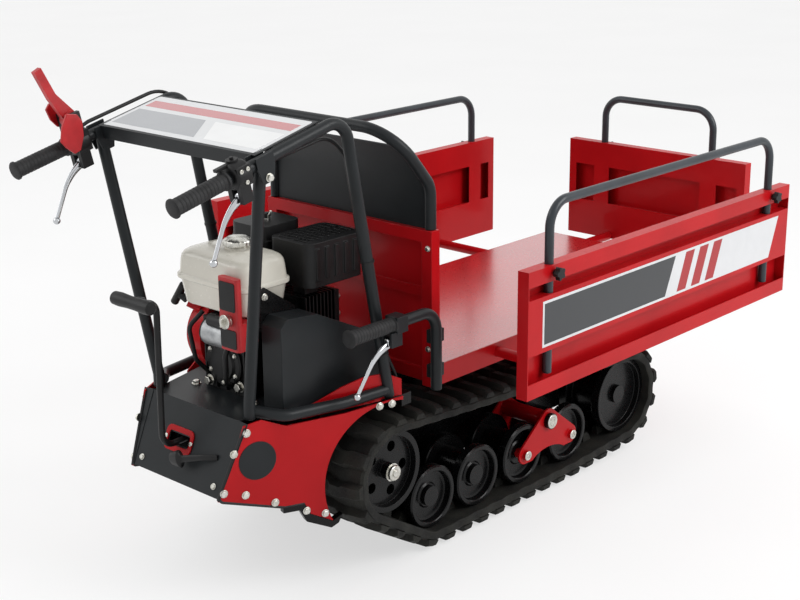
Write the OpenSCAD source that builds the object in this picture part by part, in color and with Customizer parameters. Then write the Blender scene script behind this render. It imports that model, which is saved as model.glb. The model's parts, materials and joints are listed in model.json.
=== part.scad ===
// Tracked power carrier: a walk-behind load carrier on two rubber tracks,
// with a small engine, a tipping bed and three drop boards that slide out.
// Drawn from the drive sprocket axle: +X towards the bed end, +Y to the
// operator's left, +Z up from the ground. It is then moved so that the
// origin lies under the middle of the whole machine.

/* [Tracks] */
// Width of one rubber track
track_w = 180; // [150:5:200]
// Distance between the middles of the two tracks
track_gauge = 392; // [380:2:420]
// Nominal pitch of the track links
track_pitch = 60; // [50:1:72]
// Thickness of the belt under its bars
belt_t = 22; // [16:1:28]
// Height of the tread bars
bar_h = 18; // [10:1:24]
// Height of the guide teeth inside the belt
guide_h = 20; // [12:1:26]

/* [Running gear] */
// Height of the drive sprocket axle
sprocket_z = 224; // [210:1:240]
// Radius of the belt's inner face on the sprocket
sprocket_r = 95; // [85:1:100]
// Teeth on the drive sprocket
sprocket_teeth = 10; // [8:1:12]
// Diameter of the road wheels
wheel_d = 150; // [130:2:156]
// First road wheel, ahead of the sprocket axle
wheel_1_x = 140; // [120:1:150]
// Second road wheel
wheel_2_x = 300; // [290:1:306]
// Third road wheel, on the rocker
wheel_3_x = 470; // [460:1:476]
// Fourth road wheel, on the rocker
wheel_4_x = 652; // [640:1:660]
// Height of the rocker pivot
rocker_z = 178; // [165:1:190]
// Idler axle, ahead of the sprocket axle
idler_x = 880; // [850:1:885]
// Height of the idler axle
idler_z = 152; // [145:1:170]
// Radius of the belt's inner face on the idler
idler_r = 100; // [85:1:104]
// Diameter of the wheel axles
axle_d = 24; // [18:1:28]
// Diameter of the sprocket shafts
shaft_d = 30; // [24:1:34]

/* [Chassis] */
// Height of the engine deck
deck_z = 410; // [405:1:420]
// Half width of the cover at the operator's end
cover_half_w = 140; // [125:1:150]
// Bottom edge of the operator's cover, behind the sprocket axle
cover_x = 392; // [380:1:410]
// Height of that bottom edge
cover_z = 256; // [240:1:270]
// Angle at which the red side plates flare outwards
plate_flare = 18; // [16:0.5:19]
// Thickness of the side plates
plate_t = 4; // [3:0.5:6]
// Bed hinge, ahead of the sprocket axle
hinge_x = 900; // [890:1:910]
// Height of the bed hinge
hinge_z = 345; // [338:1:350]
// Diameter of the bed hinge pin
hinge_d = 24; // [18:1:28]

/* [Handlebars] */
// Diameter of the frame tubes
tube_d = 25; // [22:0.5:27]
// Half distance between the handlebar tubes
bar_half_w = 250; // [245:1:256]
// Rear end of the handlebars, behind the sprocket axle
bar_end_x = 548; // [520:1:570]
// Height of that rear end
bar_end_z = 918; // [890:1:940]
// Slope of the handlebars and console
bar_slope = 13.6; // [10:0.1:16]
// Diameter of the hand grips
grip_d = 33; // [30:0.5:38]
// Length of the hand grips
grip_l = 126; // [110:1:128]
// Length of the console panel
console_l = 175; // [150:1:190]
// Half width of the console panel
console_half_w = 245; // [235:1:248]

/* [Engine] */
// Crankshaft, behind the sprocket axle
crank_x = 150; // [145:1:155]
// Height of the crankshaft over the deck
crank_h = 100; // [92:1:104]
// Diameter of the engine pulley
engine_pulley_d = 76; // [60:1:84]
// Diameter of the gearbox pulley
gearbox_pulley_d = 96; // [80:1:104]
// Length of the fuel tank along the machine
tank_l = 150; // [130:1:152]
// Width of the fuel tank across the machine
tank_w = 226; // [190:2:228]
// Height of the fuel tank
tank_h = 132; // [110:1:140]

/* [Bed] */
// Length of the bed floor
bed_l = 1087; // [1070:1:1110]
// Width of the bed floor
bed_w = 534; // [520:2:548]
// Height of the floor's top face
bed_z = 433; // [430:1:445]
// Rear edge of the bed, ahead of the sprocket axle
bed_x = 163; // [155:1:170]
// Thickness of the bed sheet
sheet = 3; // [2:0.5:4]
// Height of the headboard over the floor
headboard_h = 307; // [280:1:320]
// Height of the guard hoop over the headboard
hoop_h = 232; // [210:1:250]

/* [Drop boards] */
// Height of the boards
board_h = 285; // [270:1:300]
// Thickness of the boards over their flanges
board_t = 29; // [27:1:34]
// Bottom edge of the boards over the ground
board_z = 403; // [401:1:408]
// How far the side boards stand out at rest
side_out = 210; // [180:1:212]
// How far the tailgate stands out at rest
tail_out = 135; // [110:1:137]
// Diameter of the slide tubes that carry the boards
slide_d = 25; // [20:1:26]
// Diameter of the round rails on the boards
rail_d = 20; // [16:1:21]
// Height of the rails over the boards
rail_rise = 132; // [110:1:150]
// Distance from the board's end to the rail's leg
rail_inset = 87; // [80:1:95]

/* [Hidden] */
$fn = 40;

// Clearances: turning shafts, sliding parts, and faces that only pass by
turn_gap = 0.05;
slide_gap = 0.4;
face_gap = 0.5;

// Track middle, edges and levels on the right-hand side, where Y is negative
track_y = -track_gauge / 2;
track_in = track_gauge / 2 - track_w / 2;
track_out = track_gauge / 2 + track_w / 2;
wheel_r = wheel_d / 2;
wheel_z = bar_h + belt_t + wheel_r;
wheel_xs = [wheel_1_x, wheel_2_x, wheel_3_x, wheel_4_x];
rocker_x = (wheel_3_x + wheel_4_x) / 2;
guide_in = 14;
guide_out = 34;
groove = 10;
rim_in = 40;
rim_out = 64;
web_out = rim_in + 8;
beam_in = 45;
beam_out = track_in - 11;
beam_bottom = 95;
beam_top = 250;

// The belt's inner path: circles that it wraps, as [x, z, radius]
loop = [[0, sprocket_z, sprocket_r], [wheel_1_x, wheel_z, wheel_r],
    [wheel_4_x, wheel_z, wheel_r], [idler_x, idler_z, idler_r]];
function positive(a) = a < 0 ? a + 360 : a;
function gap_of(k) = let (a = loop[k], b = loop[(k + 1) % 4]) [b.x - a.x, b.y - a.y];
function tangent_angle(k) = let (d = gap_of(k), fall = loop[k].z - loop[(k + 1) % 4].z)
    atan2(d.y, d.x) - 90 + asin(fall / norm(d));
leave = [for (k = [0:3]) k < 3 ? positive(tangent_angle(k)) : tangent_angle(k) + 360];
meet = [for (k = [0:3]) k == 0 ? leave[3] - 360 : leave[k - 1]];
function arc_l(k) = (loop[k].z + belt_t / 2) * (leave[k] - meet[k]) * PI / 180;
function run_l(k) = let (d = gap_of(k), fall = loop[k].z - loop[(k + 1) % 4].z)
    sqrt(d * d - fall * fall);
loop_l = arc_l(0) + run_l(0) + arc_l(1) + run_l(1) + arc_l(2) + run_l(2) + arc_l(3) + run_l(3);
links = round(loop_l / track_pitch);
link_l = loop_l / links;
// Point at a length along the belt's middle and an offset out of its inner face
function polar(k, a, out) = [loop[k].x, loop[k].y] + (loop[k].z + out) * [cos(a), sin(a)];
function belt_at(s, out, k = 0) = let (w = (s + loop_l) % loop_l) belt_step(w, out, k);
function belt_step(s, out, k) =
    s <= arc_l(k) || k > 3 ? polar(k, meet[k] + s / (loop[k].z + belt_t / 2) * 180 / PI, out)
    : s <= arc_l(k) + run_l(k) ? polar(k, leave[k], out)
        + (s - arc_l(k)) * [-sin(leave[k]), cos(leave[k])]
    : belt_step(s - arc_l(k) - run_l(k), out, k + 1);
bar_foot = 34;
bar_tip = 22;
guide_foot = 34;
guide_tip = 20;
function bumps(foot, tip, level, height) = [for (i = [0:links - 1]) let (s = i * link_l)
    each [belt_at(s - foot / 2, level), belt_at(s - tip / 2, level + height),
        belt_at(s + tip / 2, level + height), belt_at(s + foot / 2, level),
        belt_at(s + link_l / 2, level)]];
function plain_loop(level) = [for (i = [0:4 * links - 1]) belt_at(i * link_l / 4, level)];

// Frame tubes
tube_r = tube_d / 2;
bar_rise = tan(bar_slope);
function bar_z(x) = bar_end_z + (x + bar_end_x) * bar_rise;
bar_bend_x = -112;
bar_foot_x = 7;
foot_z = 408;
rear_foot = [-303, cover_half_w + 8, deck_z + tube_r + 2];
console_x = -345;

// Side plates, in their own plane: length from the rear edge, and height
plate_origin = [-cover_x - 2, -cover_half_w + 0.3, 0];
plate_axle_s = (cover_x + 2) / cos(plate_flare);
plate_clear = 26;
plate_hole_r = (sprocket_r + belt_t + bar_h + plate_clear) / cos(plate_flare);

// Bed and boards
bed_end = bed_x + bed_l;
bed_under = bed_z - 48;
headboard_top = bed_z + headboard_h;
headboard_x = bed_x - 13;
side_in = bed_w / 2 + 1 + side_out;
board_l = bed_l + 2;
tail_in = bed_end + 7 + tail_out;
tail_l = bed_w + 60;
tail_legs = 362;
slide_z = bed_z - 23;
slide_r = slide_d / 2;
slide_reach = side_out + 40;
side_slides = [bed_x + 197, bed_x + 797];
slide_stagger = 40;
tail_slide_y = 150;
tail_reach = tail_out + 95;
rail_r = rail_d / 2;
rail_bend = 56;
rail_start = 40;
channel_h = 35;
pocket_low = 97;
pocket_high = 222;
post_half = 26;
knob_z = board_h - 17;
lip = 2.5;

// Middle of the machine along X
knob_h = 18;
grip_lip = 3;
rear_end = -bar_end_x - 8 * cos(bar_slope) - (grip_d / 2 + grip_lip) * sin(bar_slope);
front_end = tail_in + board_t + 2.3 + knob_h;
mid_x = (rear_end + front_end) / 2;

module placed() translate([-mid_x, 0, 0]) children();
module left() mirror([0, 1, 0]) children();

// A prism of a side-view outline between two Y values
module slab(y0, y1) translate([0, y1, 0]) rotate([90, 0, 0]) linear_extrude(y1 - y0) children();
// A round bar along Y at a point of the side view
module bar_y(x, z, r, y0, y1) translate([x, y1, z]) rotate([90, 0, 0]) cylinder(r = r, h = y1 - y0);
// A round bar along X
module bar_x(y, z, r, x0, x1) translate([x0, y, z]) rotate([0, 90, 0]) cylinder(r = r, h = x1 - x0);
// A box from its lowest to its highest corner
module block(a, b) translate(a) cube(b - a);
// A round bar between two points
module rod(a, b, r) {
    d = b - a;
    translate(a) rotate([0, acos(d.z / norm(d)), atan2(d.y, d.x)]) cylinder(r = r, h = norm(d));
}
// A box with round corners seen from above
module soft_box(a, b, r) translate([0, 0, a.z]) linear_extrude(b.z - a.z)
    translate([a.x + r, a.y + r]) offset(r = r, $fn = 24) square([b.x - a.x - 2 * r, b.y - a.y - 2 * r]);

// Bent tubes, swept along a list of corners with a bend radius at each
function unit(v) = v / norm(v);
function corner(a, b, c, rad, n) = let (u = unit(a - b), w = unit(c - b), half = acos(u * w) / 2,
    t = rad / tan(half), mid = b + unit(u + w) * rad / sin(half), turn = 180 - 2 * half,
    p = b + u * t - mid, q = b + w * t - mid)
    [for (i = [0:n]) mid + (sin(turn * (1 - i / n)) * p + sin(turn * i / n) * q) / sin(turn)];
function bent(p, rads, n = 6) = concat([p[0]],
    [for (i = [1:len(p) - 2]) each corner(p[i - 1], p[i], p[i + 1], rads[i - 1], n)], [p[len(p) - 1]]);
function tangents(p) = let (last = len(p) - 1)
    [for (i = [0:last]) unit(p[min(i + 1, last)] - p[max(i - 1, 0)])];
function across(t) = unit(cross(t, abs(t.z) < 0.9 ? [0, 0, 1] : [1, 0, 0]));
function normals(t) = [for (i = 0, n = across(t[0]); i < len(t);
    i = i + 1, n = unit(n - (n * t[min(i, len(t) - 1)]) * t[min(i, len(t) - 1)])) n];
// Outline of a flat bar that follows points of the side view
function band(p, half) = let (t = tangents(p), last = len(p) - 1)
    concat([for (i = [0:last]) [p[i].x - half * t[i].z, p[i].z + half * t[i].x]],
        [for (i = [last:-1:0]) [p[i].x + half * t[i].z, p[i].z - half * t[i].x]]);
module tube(p, r, sides = 16) {
    t = tangents(p);
    n = normals(t);
    last = len(p) - 1;
    points = [for (i = [0:last], j = [0:sides - 1]) let (a = 360 * j / sides)
        p[i] + r * (cos(a) * n[i] + sin(a) * cross(t[i], n[i]))];
    sides_faces = [for (i = [0:last - 1], j = [0:sides - 1])
        let (k = (j + 1) % sides, a = i * sides, b = a + sides)
        each [[a + j, b + j, b + k], [a + j, b + k, a + k]]];
    polyhedron(points, concat(sides_faces, [[for (j = [0:sides - 1]) j]],
        [[for (j = [0:sides - 1]) last * sides + sides - 1 - j]]));
}

// Chassis

module side_member() slab(-beam_out, -beam_in) polygon([[-60, beam_bottom], [idler_x + 50, beam_bottom],
    [idler_x + 50, 190], [idler_x, beam_top], [100, beam_top], [-100, 320], [-300, deck_z - 6],
    [-cover_x + 75, deck_z - 6], [-cover_x + 25, cover_z + 6], [-210, 250]]);
module wheel_axle(x, z) {
    bar_y(x, z, axle_d / 2 + 8, track_y + rim_out + face_gap, -beam_out + 1);
    bar_y(x, z, axle_d / 2, track_y - web_out - 2, -beam_out + 1);
    bar_y(x, z, axle_d / 2 + 12, track_y - web_out - 10, track_y - web_out - face_gap);
}
module chassis_half() {
    difference() {
        side_member();
        bar_y(0, sprocket_z, shaft_d / 2 + turn_gap, -beam_out - 1, -beam_in + 1);
    }
    wheel_axle(wheel_1_x, wheel_z);
    wheel_axle(wheel_2_x, wheel_z);
    wheel_axle(idler_x, idler_z);
    bar_y(rocker_x, rocker_z, axle_d / 2, track_y - rim_out - 8, -beam_out + 1);
    bar_y(rocker_x, rocker_z, axle_d / 2 + 8, track_y - rim_out - 18, track_y - rim_out - 8);
    block([hinge_x - 24, -beam_out, beam_top - 60], [hinge_x + 24, -beam_out + 16, hinge_z + 24]);
    block([35, -bar_half_w - 12, 368], [65, 1, foot_z - 14]);
    block([35, -beam_out, beam_top - 5], [65, -beam_in, 370]);
    block([bar_foot_x - 20, -bar_half_w - 12, foot_z - 20], [65, -bar_half_w + 20, foot_z - 13]);
    block([bed_x + 50, -beam_out, beam_top - 5], [bed_x + 90, -beam_in, bed_under - 2 - face_gap]);
}
module chassis_frame() color("dimgray") {
    chassis_half();
    left() chassis_half();
    for (x = [210, 520, 820]) block([x, -beam_in - 1, 120], [x + 50, beam_in + 1, 200]);
    block([-230, -beam_in - 1, 262], [-180, beam_in + 1, 322]);
    bar_y(hinge_x, hinge_z, hinge_d / 2, -beam_out - 0.5, beam_out + 0.5);
}

// The cover's slope from its bottom edge up to the deck
cover_top_x = cover_x - 66;
slot_y = 18;
slot_z = 335;
module operator_cover() color("darkslategray") difference() {
    union() {
        slab(-cover_half_w, cover_half_w) polygon([[-cover_x, cover_z], [-cover_top_x, deck_z],
            [-cover_top_x + 6, deck_z - sheet], [-cover_top_x + 2, deck_z - sheet],
            [-cover_x + 5, cover_z + 3], [-cover_x + 40, cover_z - 16], [-cover_x + 38, cover_z - 19]]);
        translate([0, 0, deck_z - sheet]) linear_extrude(sheet) polygon([[-cover_top_x, -cover_half_w],
            [-cover_top_x, cover_half_w], [-70, cover_half_w + 60], [-70, -cover_half_w - 60]]);
    }
    block([-cover_x - 5, slot_y - 34, slot_z - 11], [-cover_top_x - 4, slot_y + 34, slot_z + 11]);
}

module on_plate() translate(plate_origin) rotate([0, 0, -plate_flare]) children();
plate_end = plate_axle_s + 24;
plate_top = deck_z - 14;
module side_plate() on_plate() slab(-plate_t, 0) difference() {
    polygon([[0, cover_z - 4], [64, deck_z - 4], [104, deck_z + 2], [160, plate_top - 8],
        [300, plate_top - 8], [plate_end, plate_top + 4], [plate_end, plate_top - 30],
        [plate_axle_s - 60, sprocket_z], [262, 148], [210, 176], [196, 204], [150, 206]]);
    translate([plate_axle_s, sprocket_z]) circle(r = plate_hole_r, $fn = 72);
}
module side_plates() color("firebrick") {
    side_plate();
    left() side_plate();
}

// Handlebars: the long tube, the rear leg and the low guard tube, on the right-hand side
bar_route = bent([[-bar_end_x, -bar_half_w, bar_end_z], [bar_bend_x, -bar_half_w, bar_z(bar_bend_x)],
    [bar_foot_x, -bar_half_w, foot_z - 10.4]], [46], 8);
guard_route = bent([[-292, -cover_half_w - 8, deck_z + tube_r + 1],
    [-250, -cover_half_w - 57, deck_z + 3], [-110, -cover_half_w - 88, deck_z - 1],
    [bar_foot_x - 8, -bar_half_w - 1, foot_z + 6]], [40, 120], 4);
leg_route = bent([[console_x + 6, -bar_half_w, bar_z(console_x) - 6],
    [rear_foot.x, -rear_foot.y, rear_foot.z + 14], [rear_foot.x, -rear_foot.y, deck_z + 0.3]], [30], 3);
module handle_frame() {
    tube(bar_route, tube_r);
    tube(leg_route, tube_r);
    tube(guard_route, tube_r);
}
module handle_frame_right() color("darkslategray") handle_frame();
module handle_frame_left() color("darkslategray") left() handle_frame();

// Console panel: a folded sheet that lies on both handlebar tubes
module console_panel() color("silver") translate([console_x, 0, bar_z(console_x)]) rotate([0, -bar_slope, 0]) {
    block([0, -console_half_w, tube_r + 0.1], [console_l, console_half_w, tube_r + sheet]);
    inner = bar_half_w - tube_r - 2;
    block([0, -inner, -14], [sheet, inner, tube_r + 1]);
    block([console_l - sheet, -inner, -6], [console_l, inner, tube_r + 1]);
}

module on_bar(x) translate([x, -bar_half_w, bar_z(x)]) rotate([0, -bar_slope, 0]) children();
module grip() on_bar(-bar_end_x) difference() {
    union() {
        bar_x(0, 0, grip_d / 2, -6, grip_l);
        bar_x(0, 0, grip_d / 2 + grip_lip, -8, -2);
        bar_x(0, 0, grip_d / 2 + grip_lip, grip_l - 6, grip_l);
    }
    bar_x(0, 0, tube_r + turn_gap, 0, grip_l + 1);
}
module hand_grips() color("black") {
    grip();
    left() grip();
}

// Lever perches: clamps on the handlebars with an eye for each lever
perch_x = -bar_end_x + grip_l + 8;
perch_drop = 42;
lever_pin_r = 4;
module perch(height) on_bar(perch_x) difference() {
    union() {
        block([0, -24, -20], [34, 24, height]);
        for (y = [-20, 8]) block([2, y, -perch_drop - 12], [28, y + 12, -18]);
        bar_y(15, -perch_drop, lever_pin_r, -19, 19);
    }
    bar_x(0, 0, tube_r + turn_gap, -1, 40);
}
cam_x = 12;
cam_h = 52;
module cam_cheeks() on_bar(perch_x) {
    for (y = [-20, 10]) block([cam_x - 16, y, 18], [cam_x + 16, y + 10, cam_h + 14]);
    bar_y(cam_x, cam_h, lever_pin_r, -19, 19);
}
module lever_perches() color("dimgray") {
    perch(20);
    left() perch(26);
    left() cam_cheeks();
    on_bar(perch_x) translate([17, 6, 19]) cylinder(r = lever_pin_r, h = 16);
}
// Chrome squeeze lever: an eye, a long bent blade and a ball
blade = bent([[8, 0, -10], [-30, 0, -26], [-84, 0, -96]], [40], 6);
blade_w = 10;
module squeeze_lever() {
    difference() {
        union() {
            bar_y(0, 0, 11, -7, 7);
            slab(-blade_w / 2, blade_w / 2) polygon(band(blade, blade_w / 2));
        }
        bar_y(0, 0, lever_pin_r + turn_gap, -9, 9);
    }
    translate([-86, 0, -98]) sphere(r = 9, $fn = 12);
}
module at_lever() on_bar(perch_x) translate([15, 0, -perch_drop]) children();
module steering_lever_right() color("silver") at_lever() squeeze_lever();
module steering_lever_left() color("silver") left() at_lever() squeeze_lever();
module clutch_lever() color("red") left() on_bar(perch_x) translate([cam_x, 0, cam_h]) {
    difference() {
        union() {
            bar_y(0, 0, 18, -9, 9);
            slab(-6, 6) polygon([[-16, 4], [-36, 56], [-52, 120], [-34, 124], [-18, 62], [14, 12]]);
        }
        bar_y(0, 0, lever_pin_r + turn_gap, -11, 11);
    }
}
module throttle_lever() color("black") on_bar(perch_x) translate([17, 6, 20 + face_gap]) difference() {
    union() {
        cylinder(r = 12, h = 10);
        block([-44, -5, 0], [0, 5, 6]);
    }
    translate([0, 0, -1]) cylinder(r = lever_pin_r + turn_gap, h = 20);
}

// Gear lever: swings sideways in the cover's slot about a pin behind it
gear_pin = [-318, slot_y, slot_z];
gear_pin_r = 6;
gear_route = bent([[-326, slot_y, slot_z], [-404, slot_y, slot_z - 4], [-398, slot_y, 648],
    [-446, slot_y, 660]], [30, 26], 6);
module gear_lever() color("black") difference() {
    union() {
        tube(gear_route, 7, 12);
        bar_x(slot_y, slot_z, 14, gear_pin.x - 20, gear_pin.x + 8);
        bar_y(-456, 662, 15, slot_y - 62, slot_y + 62);
    }
    bar_x(slot_y, slot_z, gear_pin_r + turn_gap, gear_pin.x - 12, gear_pin.x + 20);
}

// Gearbox, with the shafts that the sprockets and the belt drive
input_x = -15;
input_z = deck_z + 58;
module gearbox() color("slategray") difference() {
    union() {
        block([-75, -beam_in + 1, 130], [75, beam_in - 1, 310]);
        block([input_x - 38, -beam_in + 5, 300], [input_x + 38, beam_in - 5, input_z + 16]);
        bar_y(input_x, input_z, 12, -170, -30);
        bar_x(slot_y, slot_z, gear_pin_r, gear_pin.x - 10, input_x - 30);
        bar_y(0, sprocket_z, shaft_d / 2 + 14, -beam_in, beam_in);
    }
    bar_y(0, sprocket_z, shaft_d / 2 + turn_gap, -beam_in - 2, -20);
    bar_y(0, sprocket_z, shaft_d / 2 + turn_gap, 20, beam_in + 2);
}

// Engine
crank_z = deck_z + crank_h;
head_x = -crank_x + 78;
tank_x = -280;
tank_z = deck_z + 192;
module engine_block() color("lightgray") {
    block([-crank_x - 78, -70, deck_z + 0.2], [head_x, 78, deck_z + 160]);
    for (i = [0:8]) block([head_x + 6 + i * 11, -74, deck_z + 78], [head_x + 10 + i * 11, 62, deck_z + 190]);
    block([head_x - 1, -52, deck_z + 82], [head_x + 102, 46, deck_z + 184]);
    block([head_x + 100, -60, deck_z + 86], [head_x + 122, 54, deck_z + 182]);
    bar_y(-crank_x, crank_z, 10, -172, -60);
    bar_y(-crank_x - 92, deck_z + 138, 31, -52, 40);
    block([-crank_x - 84, -44, deck_z + 112], [-crank_x - 70, 34, deck_z + 158]);
    for (x = [-crank_x - 60, -crank_x + 20]) block([x, -44, deck_z + 150], [x + 14, 44, tank_z - 0.2]);
}
fan_r = crank_h - 10;
module fan_cover() color("firebrick") {
    bar_y(-crank_x, crank_z, fan_r, 78.2, 118);
    bar_y(-crank_x, crank_z, fan_r - 12, 117, 138);
    bar_y(-crank_x, crank_z, 56, 137, 148);
    block([-crank_x - 60, 78.2, crank_z], [-crank_x + 40, 112, tank_z - 6]);
    rod([-crank_x - 58, 108, crank_z + 66], [-crank_x - 76, 128, crank_z + 80], 12);
}
handle_seat = [-crank_x - 76, 128, crank_z + 80];
pull = unit([-0.25, 0.8, 0.55]);
module starter_handle() color("black") {
    a = handle_seat + pull * 4;
    rod(a, a + pull * 26, 8);
    rod(a + pull * 24 + [0, -18, 24], a + pull * 24 + [0, 18, -24], 9);
}
module fuel_tank() color("ivory") {
    end = tank_x + tank_l;
    half = tank_w / 2;
    seam = tank_z + tank_h * 0.42;
    shoulder = tank_z + tank_h * 0.82;
    soft_box([tank_x + 10, -half + 8, tank_z], [end - 8, half - 8, seam], 26);
    soft_box([tank_x, -half, seam - 8], [end, half, seam + 3], 30);
    soft_box([tank_x + 3, -half + 3, seam], [end - 3, half - 3, shoulder], 30);
    soft_box([tank_x + 14, -half + 14, shoulder - 3], [end - 12, half - 14, tank_z + tank_h], 34);
    translate(cap_at + [0, 0, -8]) cylinder(r = 24, h = 12);
}
cap_at = [tank_x + 78, -16, tank_z + tank_h];
module fuel_cap() color("silver") translate(cap_at + [0, 0, 4.2]) {
    cylinder(r = 32, h = 14);
    translate([0, 0, 13]) cylinder(r = 26, h = 6);
}
breather_z = deck_z + 224;
module air_cleaner() color("black") {
    soft_box([head_x - 44, 2, breather_z + 14], [head_x + 84, 120, breather_z + 86], 28);
    soft_box([head_x - 40, 6, breather_z + 85], [head_x + 80, 116, breather_z + 118], 24);
    translate([head_x + 20, 61, breather_z + 117]) cylinder(r = 9, h = 16);
}
module carburettor() color("gainsboro") {
    block([head_x + 4, 20, deck_z + 190.2], [head_x + 56, 62, deck_z + 207]);
    block([head_x + 6, 30, deck_z + 206], [head_x + 54, 74, breather_z + 13.8]);
    bar_y(head_x + 30, deck_z + 222, 15, 50, 100);
}
module muffler() color("black") {
    soft_box([head_x - 40, -136, breather_z + 6], [head_x + 128, -10, breather_z + 104], 22);
    block([head_x + 20, -58, deck_z + 190.2], [head_x + 60, -20, breather_z + 8]);
    for (x = [head_x - 20:28:head_x + 92]) block([x, -140, breather_z + 22], [x + 12, -134, breather_z + 92]);
    bar_x(-72, breather_z + 56, 11, head_x + 126, head_x + 150);
}
box_x = tank_x - 16;
key_at = [box_x - 0.2, -88, tank_z + 6];
module control_box() color("firebrick") {
    soft_box([box_x, -114, deck_z + 132], [box_x + 44, -56, tank_z - 0.3], 8);
    soft_box([box_x, -114, tank_z - 1], [tank_x - 0.3, -56, tank_z + 96], 5);
    block([box_x + 30, -100, deck_z + 138], [-crank_x - 77.8, -70.2, deck_z + 154]);
}
module ignition_key() color("silver") translate(key_at) {
    bar_x(0, 0, 13, -6, 0);
    block([-24, -2, -9], [-5, 2, 9]);
}

// Belt drive under its cover
pulley_y0 = -168;
pulley_y1 = -144;
module pulley(x, z, d, bore) difference() {
    union() {
        bar_y(x, z, d / 2, pulley_y0, pulley_y0 + 5);
        bar_y(x, z, d / 2 - 9, pulley_y0, pulley_y1);
        bar_y(x, z, d / 2, pulley_y1 - 5, pulley_y1);
    }
    bar_y(x, z, bore + turn_gap, pulley_y0 - 1, pulley_y1 + 1);
}
module engine_pulley() color("gray") pulley(-crank_x, crank_z, engine_pulley_d, 10);
module gearbox_pulley() color("gray") pulley(input_x, input_z, gearbox_pulley_d, 12);
module belt_outline(extra) hull() {
    translate([-crank_x, crank_z]) circle(r = engine_pulley_d / 2 - 9 + face_gap + extra, $fn = 48);
    translate([input_x, input_z]) circle(r = gearbox_pulley_d / 2 - 9 + face_gap + extra, $fn = 48);
}
module drive_belt() color("black") slab(pulley_y0 + 5 + face_gap, pulley_y1 - 5 - face_gap) difference() {
    belt_outline(10);
    belt_outline(0);
}
cover_y0 = -178;
cover_y1 = -118;
module cover_outline(inset) offset(delta = -inset) polygon([[-236, deck_z + 0.2], [-236, crank_z + 82],
    [-216, crank_z + 100], [-132, crank_z + 92], [input_x + 72, input_z + 42], [input_x + 72, deck_z + 0.2]]);
module belt_cover() color("darkslategray") difference() {
    slab(cover_y0, cover_y1) cover_outline(0);
    slab(cover_y0 + sheet, cover_y1 + 1) cover_outline(sheet);
}

// Control cables, held from the levers down to the gearbox
cable_r = 4;
function over_bar(x, y, up) = [x, y, bar_z(x) + up];
function by_leg(share, y, ahead) = let (bend = [bar_bend_x, bar_z(bar_bend_x)])
    let (p = bend + share * ([bar_foot_x, foot_z] - bend)) [p.x + ahead, y, p.y];
left_cable = bent([over_bar(perch_x + 10, bar_half_w + 29, 9), over_bar(perch_x + 64, bar_half_w + 30, 34),
    over_bar(bar_bend_x - 38, bar_half_w + 26, 32), by_leg(0.1, bar_half_w + 24, 28),
    by_leg(0.8, bar_half_w + 22, 24), [bar_foot_x + 27, bar_half_w + 6, foot_z + 22],
    [bar_foot_x + 29, bar_half_w + 4, foot_z - 12]], [40, 80, 60, 60, 30], 4);
right_cable = bent([over_bar(perch_x + 10, 29 - bar_half_w, -13), over_bar(perch_x + 74, 28 - bar_half_w, -20),
    over_bar(bar_bend_x - 18, 28 - bar_half_w, -34), by_leg(0.13, 26 - bar_half_w, 10),
    by_leg(0.74, 22 - bar_half_w, 8), [bar_foot_x + 27, 6 - bar_half_w, foot_z + 32],
    [bar_foot_x + 29, 4 - bar_half_w, foot_z - 12]], [40, 60, 50, 60, 30], 4);
module control_cables() color("black") {
    tube(left_cable, cable_r, 10);
    tube(right_cable, cable_r, 10);
}

// Bolt heads on the side plates
plate_bolts = [[70, deck_z - 20], [40, deck_z - 60], [14, cover_z + 12], [62, cover_z - 2], [128, 222],
    [200, 186], [244, 170], [380, plate_top - 8], [410, plate_top - 8]];
module frame_bolts() color("silver") for (side = [0, 1]) mirror([0, side, 0])
    for (p = plate_bolts) on_plate() translate([p.x, -plate_t - 0.1, p.y]) rotate([90, 0, 0])
        cylinder(r = 8, h = 7, $fn = 6);

// Tracks and running gear, on the right-hand side
module track() difference() {
    slab(-track_out, -track_in) polygon(bumps(bar_foot, bar_tip, belt_t, bar_h));
    slab(-track_out - 1, track_y - guide_out) polygon(plain_loop(0));
    slab(track_y + guide_out, -track_in + 1) polygon(plain_loop(0));
    slab(track_y - guide_out, track_y - guide_in) polygon(bumps(guide_foot, guide_tip, 0, -guide_h));
    slab(track_y + guide_in, track_y + guide_out) polygon(bumps(guide_foot, guide_tip, 0, -guide_h));
    slab(track_y - guide_in, track_y + guide_in) polygon(plain_loop(groove));
}
module track_right() color("black") track();
module track_left() color("black") left() track();

// A roller with two rims that straddle the guide teeth
module roller(x, z, r, hub_r) {
    for (y = [-rim_out, rim_in]) difference() {
        bar_y(x, z, r - face_gap, track_y + y, track_y + y + rim_out - rim_in);
        bar_y(x, z, r - 14, track_y + (y < 0 ? -rim_out - 1 : rim_in + 16),
            track_y + (y < 0 ? -web_out : rim_out + 1));
    }
    bar_y(x, z, r - guide_h - 8, track_y - rim_in - 1, track_y + rim_in + 1);
    bar_y(x, z, hub_r, track_y - rim_in, track_y + rim_out);
}
module road_wheel(k) difference() {
    roller(wheel_xs[k], wheel_z, wheel_r, axle_d / 2 + 14);
    bar_y(wheel_xs[k], wheel_z, axle_d / 2 + turn_gap, track_y - rim_out - 1, track_y + rim_out + 1);
}
module idler() difference() {
    roller(idler_x, idler_z, idler_r, axle_d / 2 + 20);
    bar_y(idler_x, idler_z, axle_d / 2 + turn_gap, track_y - rim_out - 1, track_y + rim_out + 1);
}
tooth_r = sprocket_r + groove - 2;
module teeth() union() {
    circle(r = sprocket_r - 12, $fn = 60);
    for (i = [0:sprocket_teeth - 1]) rotate(360 * i / sprocket_teeth)
        polygon([[0, -15], [tooth_r, -6], [tooth_r, 6], [0, 15]]);
}
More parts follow.
